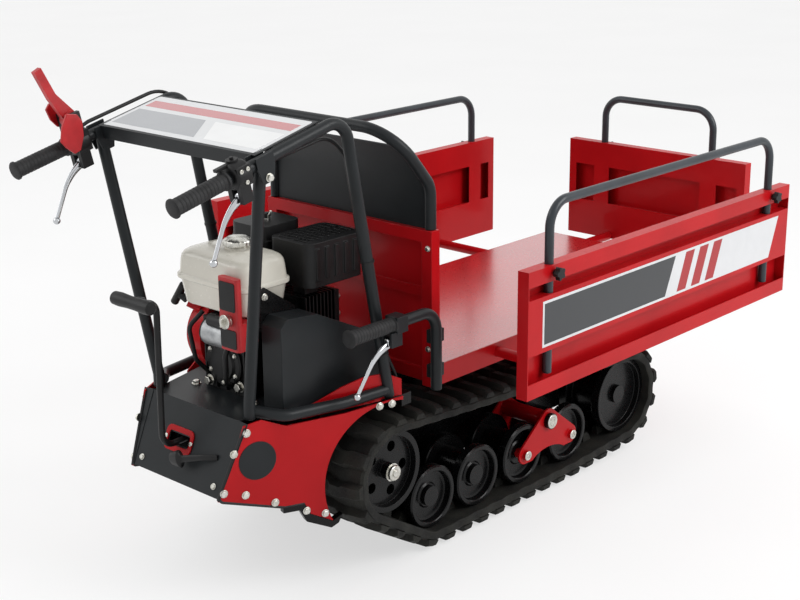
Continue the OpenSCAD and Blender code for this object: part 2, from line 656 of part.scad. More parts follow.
module sprocket() {
    difference() {
        roller(0, sprocket_z, sprocket_r, shaft_d / 2 + 18);
        for (i = [0:4]) translate([0, 0, sprocket_z]) rotate([0, 72 * i + 20, 0])
            bar_y(0, 54, 12, track_y - rim_out - 1, track_y + rim_out + 1);
    }
    translate([0, 0, sprocket_z]) slab(track_y - guide_in + 2, track_y + guide_in - 2) teeth();
    bar_y(0, sprocket_z, shaft_d / 2, track_y - rim_in - 8, -24);
    bar_y(0, sprocket_z, 12, track_y - rim_out - 4, track_y - rim_in);
    translate([0, 0, sprocket_z]) slab(track_y - rim_out - 2, track_y - rim_in - 7) circle(r = 19, $fn = 6);
}
module sprocket_right() color("dimgray") sprocket();
module sprocket_left() color("dimgray") left() sprocket();
module idler_right() color("dimgray") idler();
module idler_left() color("dimgray") left() idler();
module road_wheel_right(k) color("dimgray") road_wheel(k);
module road_wheel_left(k) color("dimgray") left() road_wheel(k);

// Rocker: an outer and an inner plate with the axles of the last two road wheels
rocker_y0 = track_y - rim_out - 7;
rocker_y1 = track_y + rim_out + 7;
rocker_arch = 70;
rocker_arch_z = wheel_z - 7;
module rocker_outline() difference() {
    hull() {
        for (k = [2, 3]) translate([wheel_xs[k], wheel_z]) circle(r = 24, $fn = 32);
        translate([rocker_x, rocker_z]) circle(r = 30, $fn = 32);
    }
    translate([rocker_x, rocker_arch_z - rocker_arch]) scale([1.4, 1]) circle(r = rocker_arch, $fn = 60);
}
module rocker() difference() {
    union() {
        slab(rocker_y0, rocker_y0 + 6) rocker_outline();
        slab(rocker_y1 - 6, rocker_y1) rocker_outline();
        for (k = [2, 3]) bar_y(wheel_xs[k], wheel_z, axle_d / 2, rocker_y0 - 8, rocker_y1 - 1);
        bar_y(rocker_x, rocker_z, axle_d / 2 + 9, rocker_y0, rocker_y1);
    }
    bar_y(rocker_x, rocker_z, axle_d / 2 + turn_gap, rocker_y0 - 1, rocker_y1 + 1);
}
module rocker_right() color("firebrick") rocker();
module rocker_left() color("firebrick") left() rocker();

// Bed
lug_y1 = beam_out - 16 - 1;
module bed_rail(shift) difference() {
    union() {
        block([bed_x, -90, bed_under - 2], [bed_end, -60, bed_z - 1]);
        slab(-lug_y1, -lug_y1 + 16) hull() {
            translate([hinge_x, hinge_z]) circle(r = hinge_d / 2 + 12, $fn = 32);
            translate([hinge_x - 40, bed_under]) square([80, 20]);
        }
    }
    for (x = side_slides) bar_y(x + shift, slide_z, slide_r + slide_gap, -91, -59);
    bar_y(hinge_x, hinge_z, hinge_d / 2 + turn_gap, -lug_y1 - 1, -lug_y1 + 17);
}
module skirt(shift) difference() {
    union() {
        for (x = side_slides) bar_y(x + shift, slide_z, slide_r + 5, -bed_w / 2 + 1, -bed_w / 2 + 46);
        block([bed_x, -bed_w / 2, bed_under], [bed_end, -bed_w / 2 + sheet, bed_z]);
    }
    for (x = side_slides) bar_y(x + shift, slide_z, slide_r + slide_gap, -bed_w / 2 - 1, -bed_w / 2 + 50);
}
module bed_side(shift) {
    bed_rail(shift);
    skirt(shift);
}
module bed_floor() color("red") {
    block([bed_x, -bed_w / 2, bed_z - sheet], [bed_end, bed_w / 2, bed_z]);
    bed_side(0);
    left() bed_side(slide_stagger);
    difference() {
        union() {
            block([bed_end - sheet, -bed_w / 2, bed_under], [bed_end, bed_w / 2, bed_z]);
            for (y = [-1, 1]) bar_x(y * tail_slide_y, slide_z, slide_r + 5, bed_end - 60, bed_end - 1);
        }
        for (y = [-1, 1]) bar_x(y * tail_slide_y, slide_z, slide_r + slide_gap, bed_end - 70, bed_end + 1);
    }
}
module headboard() color("firebrick") {
    front = bed_x - 0.2;
    block([front - sheet, -bed_w / 2 + 8, bed_under], [front, bed_w / 2 - 8, headboard_top - 2]);
    for (y = [-1, 1]) block([headboard_x - 14, y > 0 ? bed_w / 2 - 36 : -bed_w / 2 + 6, bed_under - 4],
        [front, y > 0 ? bed_w / 2 - 6 : -bed_w / 2 + 36, headboard_top]);
    block([headboard_x - 14, -bed_w / 2 + 30, headboard_top - 28], [front, bed_w / 2 - 30, headboard_top]);
    block([headboard_x, -bed_w / 2 + 30, bed_z + 150], [front, bed_w / 2 - 30, bed_z + 170]);
    block([headboard_x, -bed_w / 2 + 30, bed_under], [front, bed_w / 2 - 30, bed_under + 30]);
}
hoop_x = headboard_x;
hoop_y = bed_w / 2 - 21;
hoop_lean_x = hoop_x - 116;
hoop_knee = headboard_top + 96;
hoop_top = headboard_top + hoop_h;
hoop_route = bent([[hoop_x, -hoop_y, headboard_top + 0.2], [hoop_x, -hoop_y, hoop_knee],
    [hoop_lean_x, -hoop_y, hoop_top], [hoop_lean_x, hoop_y, hoop_top], [hoop_x, hoop_y, hoop_knee],
    [hoop_x, hoop_y, headboard_top + 0.2]], [60, 90, 90, 60], 8);
module guard_hoop() color("darkslategray") {
    tube(hoop_route, tube_r);
    edge = hoop_y - tube_r + 3;
    slab(-edge, edge) polygon([[hoop_x - 2, headboard_top + 0.2], [hoop_x - 2, hoop_knee],
        [hoop_lean_x + 34, hoop_top - 40], [hoop_lean_x + 37, hoop_top - 38], [hoop_x + 1, hoop_knee + 1],
        [hoop_x + 1, headboard_top + 0.2]]);
}
dump_out = 18;
dump_gap = 10;
dump_y = -max(bed_w / 2 + dump_out, bar_half_w + 2 * tube_r + dump_gap);
dump_x = headboard_x - 27;
dump_top = deck_z + 163;
dump_route = bent([[dump_x, dump_y, bed_under + 4], [dump_x, dump_y, dump_top],
    [-140, dump_y, dump_top]], [46], 8);
dump_pin = [-26, dump_y, dump_top - 36];
module dump_handle() color("darkslategray") {
    tube(dump_route, tube_r);
    block([dump_x - 6, dump_y + 4, bed_z - 20], [headboard_x + 4, -bed_w / 2 + 5.8, bed_z + 10]);
    block([dump_x - 6, dump_y + 4, bed_z + 60], [headboard_x + 4, -bed_w / 2 + 5.8, bed_z + 90]);
    bar_x(dump_y, dump_top, grip_d / 2, -150, -24);
    block([-20, dump_y - 18, dump_top - 18], [14, dump_y + 18, dump_top + 18]);
    for (y = [dump_y - 16, dump_y + 9])
        block([dump_pin.x - 10, y, dump_pin.z - 10], [dump_pin.x + 24, y + 7, dump_top - 14]);
    bar_y(dump_pin.x, dump_pin.z, lever_pin_r, dump_y - 15, dump_y + 15);
}
module dump_lever() color("silver") translate(dump_pin) squeeze_lever();

// Drop boards: length along X, thickness outwards along Y, height along Z
module board(len, inset) difference() {
    union() {
        difference() {
            cube([len, lip, board_h]);
            for (w = [[inset + post_half, len - inset - post_half], [24, inset - post_half],
                [len - inset + post_half, len - 24]])
                block([w[0], -1, pocket_low + 8], [w[1], lip + 1, pocket_high - 8]);
        }
        block([0, board_t - lip, pocket_low], [len, board_t, pocket_high]);
        for (z = [0, pocket_low, pocket_high - lip, board_h - lip]) block([0, 0, z], [len, board_t, z + lip]);
        block([0, board_t - lip, 0], [len, board_t, channel_h]);
        block([0, board_t - lip, board_h - channel_h], [len, board_t, board_h]);
        for (x = [0, len - lip]) block([x, 0, 0], [x + lip, board_t, board_h]);
    }
    for (x = [inset, len - inset]) {
        translate([x, board_t / 2, pocket_low - 1]) cylinder(r = rail_r + slide_gap, h = board_h);
        translate([x, board_t / 2, knob_z]) rotate([-90, 0, 0]) cylinder(r = 5 + slide_gap, h = board_t);
    }
}
module rail(span) {
    straight = board_h - rail_start + rail_rise - rail_bend;
    for (x = [-span / 2, span / 2]) translate([x, board_t / 2, rail_start]) cylinder(r = rail_r, h = straight);
    for (s = [0, 1]) mirror([s, 0, 0]) translate([span / 2 - rail_bend, board_t / 2, rail_start + straight])
        rotate([90, 0, 0]) rotate_extrude(angle = 90) translate([rail_bend, 0]) circle(r = rail_r);
    translate([0, board_t / 2, board_h + rail_rise]) rotate([0, 90, 0])
        cylinder(r = rail_r, h = span - 2 * rail_bend, center = true);
}
knob_r = 12.8;
knob_wave = 2.6;
knob_lobes = 5;
module knob() {
    cylinder(r = 5, h = board_t / 2 - rail_r + 8);
    translate([0, 0, board_t / 2 - rail_r + 2]) {
        cylinder(r = 9, h = 7);
        translate([0, 0, 6]) linear_extrude(knob_h - 6) polygon([for (a = [0:12:348])
            (knob_r + knob_wave * cos(knob_lobes * a)) * [cos(a), sin(a)]]);
    }
}
module knobs(span) for (x = [-span / 2, span / 2])
    translate([x, board_t / 2 + rail_r + 0.3, knob_z]) rotate([-90, 0, 0]) knob();
module at_side() translate([bed_x + bed_l / 2, -side_in, board_z]) rotate([0, 0, 180]) children();
module at_tail() translate([tail_in, 0, board_z]) rotate([0, 0, -90]) children();
side_span = board_l - 2 * rail_inset;
module side_slide(x) bar_y(x, slide_z, slide_r, -side_in, -side_in + slide_reach);
module side_board(shift) {
    at_side() translate([-board_l / 2, 0, 0]) board(board_l, rail_inset);
    for (x = side_slides) side_slide(x + shift);
}
module side_board_right() color("red") side_board(0);
module side_board_left() color("red") left() side_board(slide_stagger);
module tailgate() color("red") {
    at_tail() translate([-tail_l / 2, 0, 0]) board(tail_l, (tail_l - tail_legs) / 2);
    for (y = [-1, 1]) bar_x(y * tail_slide_y, slide_z, slide_r, tail_in - tail_reach, tail_in + 1);
}
module side_rail_right() color("slategray") at_side() rail(side_span);
module side_rail_left() color("slategray") left() at_side() rail(side_span);
module tailgate_rail() color("slategray") at_tail() rail(tail_legs);
module board_knobs_right() color("black") at_side() knobs(side_span);
module board_knobs_left() color("black") left() at_side() knobs(side_span);
module tailgate_knobs() color("black") at_tail() knobs(tail_legs);

placed() chassis_frame();
placed() operator_cover();
placed() side_plates();
placed() handle_frame_left();
placed() handle_frame_right();
placed() console_panel();
placed() hand_grips();
placed() lever_perches();
placed() gearbox();
placed() engine_block();
placed() fan_cover();
placed() fuel_tank();
placed() air_cleaner();
placed() muffler();
placed() control_box();
placed() carburettor();
placed() drive_belt();
placed() belt_cover();
placed() control_cables();
placed() frame_bolts();
placed() track_left();
placed() track_right();
placed() rocker_left();
placed() rocker_right();
placed() clutch_lever();
placed() steering_lever_left();
placed() steering_lever_right();
placed() throttle_lever();
placed() gear_lever();
placed() fuel_cap();
placed() starter_handle();
placed() ignition_key();
placed() engine_pulley();
placed() gearbox_pulley();
placed() sprocket_left();
placed() sprocket_right();
placed() idler_left();
placed() idler_right();
placed() road_wheel_left(0);  // road_wheel_left_1
placed() road_wheel_left(1);  // road_wheel_left_2
placed() road_wheel_left(2);  // road_wheel_left_3
placed() road_wheel_left(3);  // road_wheel_left_4
placed() road_wheel_right(0);  // road_wheel_right_1
placed() road_wheel_right(1);  // road_wheel_right_2
placed() road_wheel_right(2);  // road_wheel_right_3
placed() road_wheel_right(3);  // road_wheel_right_4
placed() bed_floor();
placed() headboard();
placed() guard_hoop();
placed() dump_handle();
placed() dump_lever();
placed() side_board_left();
placed() side_board_right();
placed() tailgate();
placed() side_rail_left();
placed() side_rail_right();
placed() tailgate_rail();
placed() board_knobs_left();
placed() board_knobs_right();
placed() tailgate_knobs();
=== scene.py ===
"""Looks of a tracked power carrier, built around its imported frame.

Sizes are in millimetres from the drive axle, the middle plane and the ground, and place() turns them
into the frame's metres. The right-hand side, where Y is negative, is drawn first and mirrored.
"""

import json
import math
from functools import lru_cache

import bmesh
import bpy
from mathutils import Matrix, Vector


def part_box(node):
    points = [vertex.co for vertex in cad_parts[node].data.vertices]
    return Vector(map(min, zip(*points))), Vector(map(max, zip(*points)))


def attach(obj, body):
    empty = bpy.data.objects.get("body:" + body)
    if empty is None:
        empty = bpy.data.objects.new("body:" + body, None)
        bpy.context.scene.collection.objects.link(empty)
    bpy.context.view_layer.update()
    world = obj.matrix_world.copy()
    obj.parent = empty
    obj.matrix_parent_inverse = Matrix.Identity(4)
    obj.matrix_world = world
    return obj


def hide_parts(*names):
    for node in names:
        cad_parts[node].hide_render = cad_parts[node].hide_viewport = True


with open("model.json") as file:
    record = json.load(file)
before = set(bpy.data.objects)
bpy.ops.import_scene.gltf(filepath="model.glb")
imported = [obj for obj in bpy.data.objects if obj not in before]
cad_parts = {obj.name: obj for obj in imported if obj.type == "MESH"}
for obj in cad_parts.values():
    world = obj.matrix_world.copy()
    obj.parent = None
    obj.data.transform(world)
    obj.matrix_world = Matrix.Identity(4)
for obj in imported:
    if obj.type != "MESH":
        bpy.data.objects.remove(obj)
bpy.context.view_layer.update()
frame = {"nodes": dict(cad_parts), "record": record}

bl_info = {
    "name": "Tracked power carrier",
    "version": (1, 0, 0),
    "blender": (4, 5, 0),
    "location": "View3D > Sidebar > Carrier",
    "description": "Builds the painted, rubber and metal pieces of a tracked power carrier around its frame",
    "category": "Object",
}

MM = 0.001
BODY_OF = {n: b for b, nodes in frame["record"]["behaviour"]["bodies"].items() for n in nodes}


def middle(node):
    """The middle of a CAD node's box."""
    low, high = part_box(node)
    return (low + high) / 2


AXLE_X = middle("sprocket_right").x
SIDES = (("right", 1), ("left", -1))


def place(x, y, z):
    """A point in the frame from millimetres ahead of the axle, across and up."""
    return Vector((AXLE_X + x * MM, y * MM, z * MM))


def hex_rgb(code):
    """Linear colour of an sRGB hex value."""
    parts = [int(code[i:i + 2], 16) / 255 for i in (1, 3, 5)]
    return tuple(c / 12.92 if c <= 0.04045 else ((c + 0.055) / 1.055) ** 2.4 for c in parts)


def colour(name, description, code):
    """A colour property that starts at a hex value."""
    return bpy.props.FloatVectorProperty(name=name, description=description, default=hex_rgb(code),
                                         size=3, subtype="COLOR", min=0, max=1)


class CarrierColours(bpy.types.PropertyGroup):
    """Colours that a user would change."""
    paint: colour("Paint", "Gloss paint of the bed, boards and side plates", "#BA1118")
    paint_deep: colour("Paint, deep", "The same paint where it lies thicker", "#AC0D14")
    charcoal: colour("Charcoal", "Powder coat of the tubes and covers", "#232628")
    tank: colour("Tank", "Enamel of the fuel tank", "#DBD7CB")


class CarrierSizes(bpy.types.PropertyGroup):
    """Sizes of the finish that a user would change."""
    edge: bpy.props.FloatProperty(
        name="Edge radius", description="Rounding of folded sheet edges",
        default=1.2 * MM, min=0, max=4 * MM, unit="LENGTH", subtype="DISTANCE")
    tube_sides: bpy.props.IntProperty(
        name="Tube sides", description="Sides of the round tubes", default=28, min=12, max=64)
    room: bpy.props.FloatProperty(
        name="Room light", description="Strength of the soft light in front of the machine",
        default=0.2, min=0, max=2)
    backdrop: bpy.props.FloatProperty(
        name="Backdrop light", description="Strength of the soft light behind it",
        default=1.3, min=0, max=4)
    key_power: bpy.props.FloatProperty(
        name="Key light", description="Power of the main soft box",
        default=105, min=0, max=500, unit="POWER")
    fill_power: bpy.props.FloatProperty(
        name="Fill light", description="Power of the second soft box",
        default=40, min=0, max=500, unit="POWER")


def colours():
    """The user's colours."""
    return bpy.context.scene.carrier_colours


def sizes():
    """The user's sizes and light."""
    return bpy.context.scene.carrier_sizes


# Materials

def add(tree, kind, inputs=(), **settings):
    """Adds one node with its settings, and sets or links its inputs."""
    made = tree.nodes.new(kind)
    for name, value in settings.items():
        setattr(made, name, value)
    for name, value in dict(inputs).items():
        if isinstance(value, bpy.types.NodeSocket):
            tree.links.new(value, made.inputs[name])
        else:
            made.inputs[name].default_value = value
    return made


# Places of the colour sockets on a Mix node, which shares its names among several kinds
MIX_FACTOR = 0
MIX_A = 6
MIX_B = 7
MIX_RESULT = 2


def per_mm(size):
    """Texture scale at which one feature is that many millimetres wide."""
    return 1 / (size * MM)


def surface(name, slot, dark, light, patch, grain, depth, rough, **sockets):
    """A material whose colour drifts over patches and whose gloss and surface follow a fine grain.

    dark and light are linear colours, patch and grain widths and depth of the grain millimetres,
    rough the least and greatest roughness, and sockets constants on the shader."""
    made = bpy.data.materials.new(name)
    made.use_nodes = True
    made["slot"] = slot
    made.diffuse_color = (*light, 1)
    tree = made.node_tree
    shader = tree.nodes["Principled BSDF"]
    where = add(tree, "ShaderNodeTexCoord").outputs["Object"]
    drift = add(tree, "ShaderNodeTexNoise", {"Vector": where, "Scale": per_mm(patch), "Detail": 4.0})
    blend = add(tree, "ShaderNodeMapRange",
                {"Value": drift.outputs["Fac"], "From Min": 0.35, "From Max": 0.65})
    mix = add(tree, "ShaderNodeMix",
              {MIX_FACTOR: blend.outputs["Result"], MIX_A: (*dark, 1), MIX_B: (*light, 1)}, data_type="RGBA")
    noise = add(tree, "ShaderNodeTexNoise", {"Vector": where, "Scale": per_mm(grain), "Detail": 2.0})
    fine = noise.outputs["Fac"]
    gloss = add(tree, "ShaderNodeMapRange", {"Value": fine, "From Min": 0.3, "From Max": 0.7,
                                             "To Min": rough[0], "To Max": rough[1]})
    bump = add(tree, "ShaderNodeBump", {"Height": fine, "Strength": 1.0, "Distance": depth * MM})
    tree.links.new(mix.outputs[MIX_RESULT], shader.inputs["Base Color"])
    tree.links.new(gloss.outputs["Result"], shader.inputs["Roughness"])
    tree.links.new(bump.outputs["Normal"], shader.inputs["Normal"])
    for socket, value in sockets.items():
        shader.inputs[socket.replace("_", " ")].default_value = value
    return made


@lru_cache(None)
def gloss_enamel():
    """Sprayed red enamel on sheet steel: a deep even colour under a clear gloss with faint orange peel."""
    return surface("gloss_red_enamel", "red_paint", tuple(colours().paint_deep), tuple(colours().paint),
                   180, 5, 0.015, (0.30, 0.40), IOR=1.5, Specular_IOR_Level=0.1, Coat_Weight=0.15,
                   Coat_Roughness=0.12)


@lru_cache(None)
def floor_enamel():
    """The same enamel on the bed floor, rubbed bright by loads: it mirrors the sky at a low angle."""
    return surface("rubbed_red_enamel", "red_paint", tuple(colours().paint_deep), tuple(colours().paint),
                   220, 6, 0.002, (0.26, 0.34), IOR=1.5, Coat_Weight=1.0, Coat_Roughness=0.2, Coat_IOR=1.9)


@lru_cache(None)
def powder_coat():
    """Charcoal powder coat on tube and sheet: satin, with a fine pebble that softens highlights."""
    tone = tuple(colours().charcoal)
    return surface("charcoal_powder_coat", "charcoal_paint", tuple(c * 0.82 for c in tone), tone,
                   90, 2.5, 0.05, (0.34, 0.46), IOR=1.5, Specular_IOR_Level=0.18, Coat_Weight=0.05,
                   Coat_Roughness=0.25)


@lru_cache(None)
def rail_coat():
    """Slate powder coat on the round rails: a shade lighter and bluer than the frame, satin."""
    return surface("slate_powder_coat", "rail_paint", hex_rgb("#282D32"), hex_rgb("#31373D"),
                   70, 2.5, 0.04, (0.30, 0.42), IOR=1.5, Specular_IOR_Level=0.3, Coat_Weight=0.15,
                   Coat_Roughness=0.2)


@lru_cache(None)
def black_enamel():
    """Black stoving enamel on pressed wheels and brackets: dark with sharp rim highlights."""
    return surface("black_stoving_enamel", "black_steel", hex_rgb("#09090A"), hex_rgb("#101011"),
                   60, 4, 0.006, (0.22, 0.34), IOR=1.5, Specular_IOR_Level=0.15, Coat_Weight=0.1,
                   Coat_Roughness=0.12)


@lru_cache(None)
def tread_rubber():
    """Moulded track rubber: dull black that greys where dust clings, with a coarse mould skin."""
    return surface("moulded_track_rubber", "track_rubber", hex_rgb("#10100F"), hex_rgb("#22221E"),
                   45, 3, 0.25, (0.62, 0.85), IOR=1.52, Specular_IOR_Level=0.25)


@lru_cache(None)
def grip_rubber():
    """Soft grip rubber: matt charcoal with a fine pebble."""
    return surface("soft_grip_rubber", "grip_rubber", hex_rgb("#1B1B1C"), hex_rgb("#29292A"),
                   30, 1.6, 0.12, (0.55, 0.72), IOR=1.52, Specular_IOR_Level=0.3)


@lru_cache(None)
def belt_rubber():
    """Wrapped V-belt rubber: matt black with a cloth skin."""
    return surface("wrapped_belt_rubber", "belt_rubber", hex_rgb("#161616"), hex_rgb("#1F1F1F"),
                   12, 1.5, 0.15, (0.65, 0.8), IOR=1.52)


@lru_cache(None)
def black_plastic():
    """Moulded black polypropylene: spark-eroded grain and a low sheen."""
    return surface("moulded_black_plastic", "black_plastic", hex_rgb("#0F0F10"), hex_rgb("#181819"),
                   40, 1.4, 0.06, (0.38, 0.52), IOR=1.49, Specular_IOR_Level=0.3)


@lru_cache(None)
def red_plastic():
    """Moulded red nylon of the lever and switch box: even colour, soft gloss."""
    return surface("moulded_red_nylon", "lever_red", hex_rgb("#A8171D"), hex_rgb("#BE1E24"),
                   40, 1.6, 0.04, (0.32, 0.44), IOR=1.53, Specular_IOR_Level=0.4)


@lru_cache(None)
def cast_aluminium():
    """Die-cast aluminium: grey metal with a sandy skin that scatters light."""
    return surface("die_cast_aluminium", "cast_aluminium", hex_rgb("#8E9092"), hex_rgb("#B2B4B5"),
                   25, 2, 0.15, (0.38, 0.58), Metallic=1.0)


@lru_cache(None)
def black_casting():
    """Black-painted engine casting: rough skin, satin paint."""
    return surface("painted_engine_casting", "black_steel", hex_rgb("#0B0B0C"), hex_rgb("#151516"),
                   30, 2.2, 0.18, (0.36, 0.54), IOR=1.5, Specular_IOR_Level=0.3)


@lru_cache(None)
def tank_enamel():
    """Ivory stoving enamel on the drawn steel tank: warm off-white with a clean gloss."""
    tone = tuple(colours().tank)
    return surface("ivory_stoving_enamel", "tank_enamel", tuple(c * 0.93 for c in tone), tone,
                   120, 6, 0.02, (0.20, 0.28), IOR=1.5, Coat_Weight=0.3, Coat_Roughness=0.1)


@lru_cache(None)
def zinc_plate():
    """Bright zinc plating on bolts and washers: silvery with a faint warm cast."""
    return surface("bright_zinc_plate", "zinc", hex_rgb("#B9B7AE"), hex_rgb("#D5D4CE"),
                   10, 1.5, 0.05, (0.22, 0.36), Metallic=1.0)


@lru_cache(None)
def chrome_plate():
    """Chrome plating on the polished levers: mirror bright."""
    return surface("bright_chrome_plate", "chrome", hex_rgb("#B4B6B9"), hex_rgb("#C4C6C9"),
                   60, 8, 0.02, (0.05, 0.10), Metallic=1.0)


@lru_cache(None)
def printed_film(name, code, laminate=0.0):
    """Printed vinyl film: flat ink under a satin laminate, which on the console mirrors the room."""
    tone = hex_rgb(code)
    return surface("vinyl_film_" + name, "console_print", tuple(c * 0.95 for c in tone), tone,
                   60, 3, 0.01, (0.28, 0.36), IOR=1.5, Coat_Weight=laminate, Coat_Roughness=0.1, Coat_IOR=1.9)


# Shapes

def arc_corner(a, b, c, radius, steps):
    """Points of the round bend of that radius at corner b."""
    u = (a - b).normalized()
    w = (c - b).normalized()
    half = u.angle(w) / 2
    cut = radius / math.tan(half)
    centre = b + (u + w).normalized() * radius / math.sin(half)
    p = b + u * cut - centre
    q = b + w * cut - centre
    turn = math.pi - 2 * half
    return [centre + (p * math.sin(turn * (1 - i / steps)) + q * math.sin(turn * i / steps)) / math.sin(turn)
            for i in range(steps + 1)]


def bent(points, radii, steps=10):
    """A route in millimetres through corner points, with a bend radius at each inner corner."""
    p = [Vector(v) for v in points]
    route = [p[0]]
    for i in range(1, len(p) - 1):
        route += arc_corner(p[i - 1], p[i], p[i + 1], radii[i - 1], steps)
    return route + [p[-1]]


def across(axis):
    """Two directions square to an axis."""
    axis = axis.normalized()
    u = axis.cross(Vector((0, 0, 1)) if abs(axis.z) < 0.9 else Vector((1, 0, 0))).normalized()
    return u, axis.cross(u)


def round_rect(x0, x1, y0, y1, radius, steps=6):
    """Outline of a rectangle with round corners."""
    outline = []
    for cx, cy, start in ((x1 - radius, y1 - radius, 0), (x0 + radius, y1 - radius, 90),
                          (x0 + radius, y0 + radius, 180), (x1 - radius, y0 + radius, 270)):
        for i in range(steps + 1):
            a = math.radians(start + 90 * i / steps)
            outline.append((cx + radius * math.cos(a), cy + radius * math.sin(a)))
    return outline


def top_view(x, y, z):
    """Spot of an outline in the top view at a height."""
    return (x, y, z)


class Shape:
    """Vertices in millimetres and faces, gathered from several forms into one piece."""

    def __init__(self, side=1):
        self.verts = []
        self.faces = []
        self.side = side

    def add(self, verts, faces):
        """Takes in one form's vertices and faces."""
        start = len(self.verts)
        self.verts += [Vector(v) for v in verts]
        self.faces += [[start + i for i in f] for f in faces]

    def loft(self, rings, closed=False):
        """Skin over rings of equal length, capped at both ends unless it closes on itself."""
        n = len(rings[0])
        spans = len(rings) if closed else len(rings) - 1
        faces = []
        for k in range(spans):
            a = k * n
            b = (k + 1) % len(rings) * n
            faces += [(a + i, a + (i + 1) % n, b + (i + 1) % n, b + i) for i in range(n)]
        if not closed:
            faces.append(tuple(range(n))[::-1])
            faces.append(tuple((len(rings) - 1) * n + i for i in range(n)))
        self.add([v for ring in rings for v in ring], faces)

    def sweep(self, route, radius, sides=0, flat=1.0):
        """A round bar along a route; radius is one number or one per point, flat squeezes it sideways."""
        route = [Vector(p) for p in route]
        sides = sides or sizes().tube_sides
        radii = radius if isinstance(radius, (list, tuple)) else [radius] * len(route)
        last = len(route) - 1
        u = None
        rings = []
        for i, point in enumerate(route):
            axis = (route[min(i + 1, last)] - route[max(i - 1, 0)]).normalized()
            u = across(axis)[0] if u is None else (u - axis * u.dot(axis)).normalized()
            w = axis.cross(u)
            rim = [u * math.cos(a) * flat + w * math.sin(a) for a in
                   (2 * math.pi * j / sides for j in range(sides))]
            chamfer = 0.12 * radii[i]
            if i == 0:
                rings.append([point + r * (radii[i] - chamfer) for r in rim])
                rings.append([point + axis * chamfer + r * radii[i] for r in rim])
            elif i == last:
                rings.append([point - axis * chamfer + r * radii[i] for r in rim])
                rings.append([point + r * (radii[i] - chamfer) for r in rim])
            else:
                rings.append([point + r * radii[i] for r in rim])
        self.loft(rings)

    def lathe(self, profile, origin, axis, segments=48, closed=False, lobes=0, lobe_depth=0.0):
        """Turned form: profile holds height along the axis and radius; lobes flute it."""
        origin = Vector(origin)
        axis = Vector(axis).normalized()
        u, w = across(axis)
        rings = []
        for height, radius in profile:
            ring = []
            for j in range(segments):
                a = 2 * math.pi * j / segments
                r = max(radius * (1 - lobe_depth * (0.5 - 0.5 * math.cos(lobes * a))), 0.01)
                ring.append(origin + axis * height + (u * math.cos(a) + w * math.sin(a)) * r)
            rings.append(ring)
        self.loft(rings, closed)

    def prism(self, outline, spot, low, high):
        """Straight block of an outline between two levels; spot turns (u, v, level) into a point."""
        self.loft([[spot(u, v, level) for u, v in outline] for level in (low, high)])

    def block(self, low, high):
        """A block between two corners, which the piece's edge rounding then softens."""
        outline = [(low[0], low[1]), (high[0], low[1]), (high[0], high[1]), (low[0], high[1])]
        self.prism(outline, top_view, low[2], high[2])

    def frame(self, outer, inner, spot, low, high):
        """Flat ring between two outlines of equal length."""
        rings = [[spot(u, v, level) for u, v in outline] for outline, level in
                 ((outer, low), (outer, high), (inner, high), (inner, low))]
        self.loft(rings, closed=True)

    def hex_bolt(self, origin, axis, across_flats=13, height=6, washer=9):
        """Flanged hexagon bolt head standing on a face."""
        r = across_flats / math.sqrt(3)
        self.lathe([(0, washer), (1.4, washer), (1.9, washer - 0.8)], origin, axis, 24)
        self.lathe([(1.6, r), (height - 1, r), (height, r - 1.2)], origin, axis, 6)

    def finish(self, name, material, body, *nodes, edge=None, angle=35):
        """Makes the piece, rounds its sharp edges, and rides it on its body in place of the nodes."""
        mesh = bmesh.new()
        made = [mesh.verts.new(place(v.x, v.y * self.side, v.z)) for v in self.verts]
        for face in self.faces:
            mesh.faces.new([made[i] for i in face])
        return settle(rounded(mesh, name, material, edge, angle), body, *nodes)


def rounded(mesh, name, material, edge=None, angle=35):
    """Object of a bmesh with its sharp edges rounded and the rest shaded smooth."""
    edge = sizes().edge if edge is None else edge * MM
    bmesh.ops.recalc_face_normals(mesh, faces=mesh.faces)
    if edge:
        sharp = [e for e in mesh.edges if e.is_manifold and e.calc_face_angle() > math.radians(angle)]
        bmesh.ops.bevel(mesh, geom=sharp, offset=edge, offset_type="OFFSET", segments=2, profile=0.5,
                        affect="EDGES", clamp_overlap=True)
    data = bpy.data.meshes.new(name)
    mesh.to_mesh(data)
    mesh.free()
    data.shade_smooth()
    data.set_sharp_from_angle(angle=math.radians(angle + 6))
    made = bpy.data.objects.new(name, data)
    bpy.context.scene.collection.objects.link(made)
    data.materials.append(material)
    flat = made.modifiers.new("flat_faces", "WEIGHTED_NORMAL")
    flat.keep_sharp = True
    return made


def settle(piece, body, *nodes):
    """Rides a piece on its body and hides the nodes that it stands for."""
    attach(piece, body)
    if nodes:
        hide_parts(*nodes)
    return piece


def shell(node, material, edge=None, angle=30):
    """The node's own solid with its folded edges rounded, shown in its place."""
    mesh = bmesh.new()
    mesh.from_mesh(frame["nodes"][node].data)
    bmesh.ops.remove_doubles(mesh, verts=mesh.verts, dist=0.01 * MM)
    bmesh.ops.dissolve_limit(mesh, angle_limit=math.radians(0.5), verts=mesh.verts, edges=mesh.edges)
    return settle(rounded(mesh, node + "_skin", material, edge, angle), BODY_OF[node], node)


# Tracks and running gear

TRACK_Y = -196
TRACK_HALF = 90
BELT_T = 22
BAR_H = 18
LINKS_PITCH = 60
GROOVE = 10
GUIDE_H = 20
# Circles that the belt's inner face wraps: x, z, radius
LOOP = ((0, 224, 95), (140, 115, 75), (652, 115, 75), (880, 152, 100))


def tangent_angle(k):
    """Angle at which the belt leaves circle k for the next one."""
    x0, z0, r0 = LOOP[k]
    x1, z1, r1 = LOOP[(k + 1) % 4]
    return math.degrees(math.atan2(z1 - z0, x1 - x0)) - 90 + math.degrees(
        math.asin((r0 - r1) / math.hypot(x1 - x0, z1 - z0)))


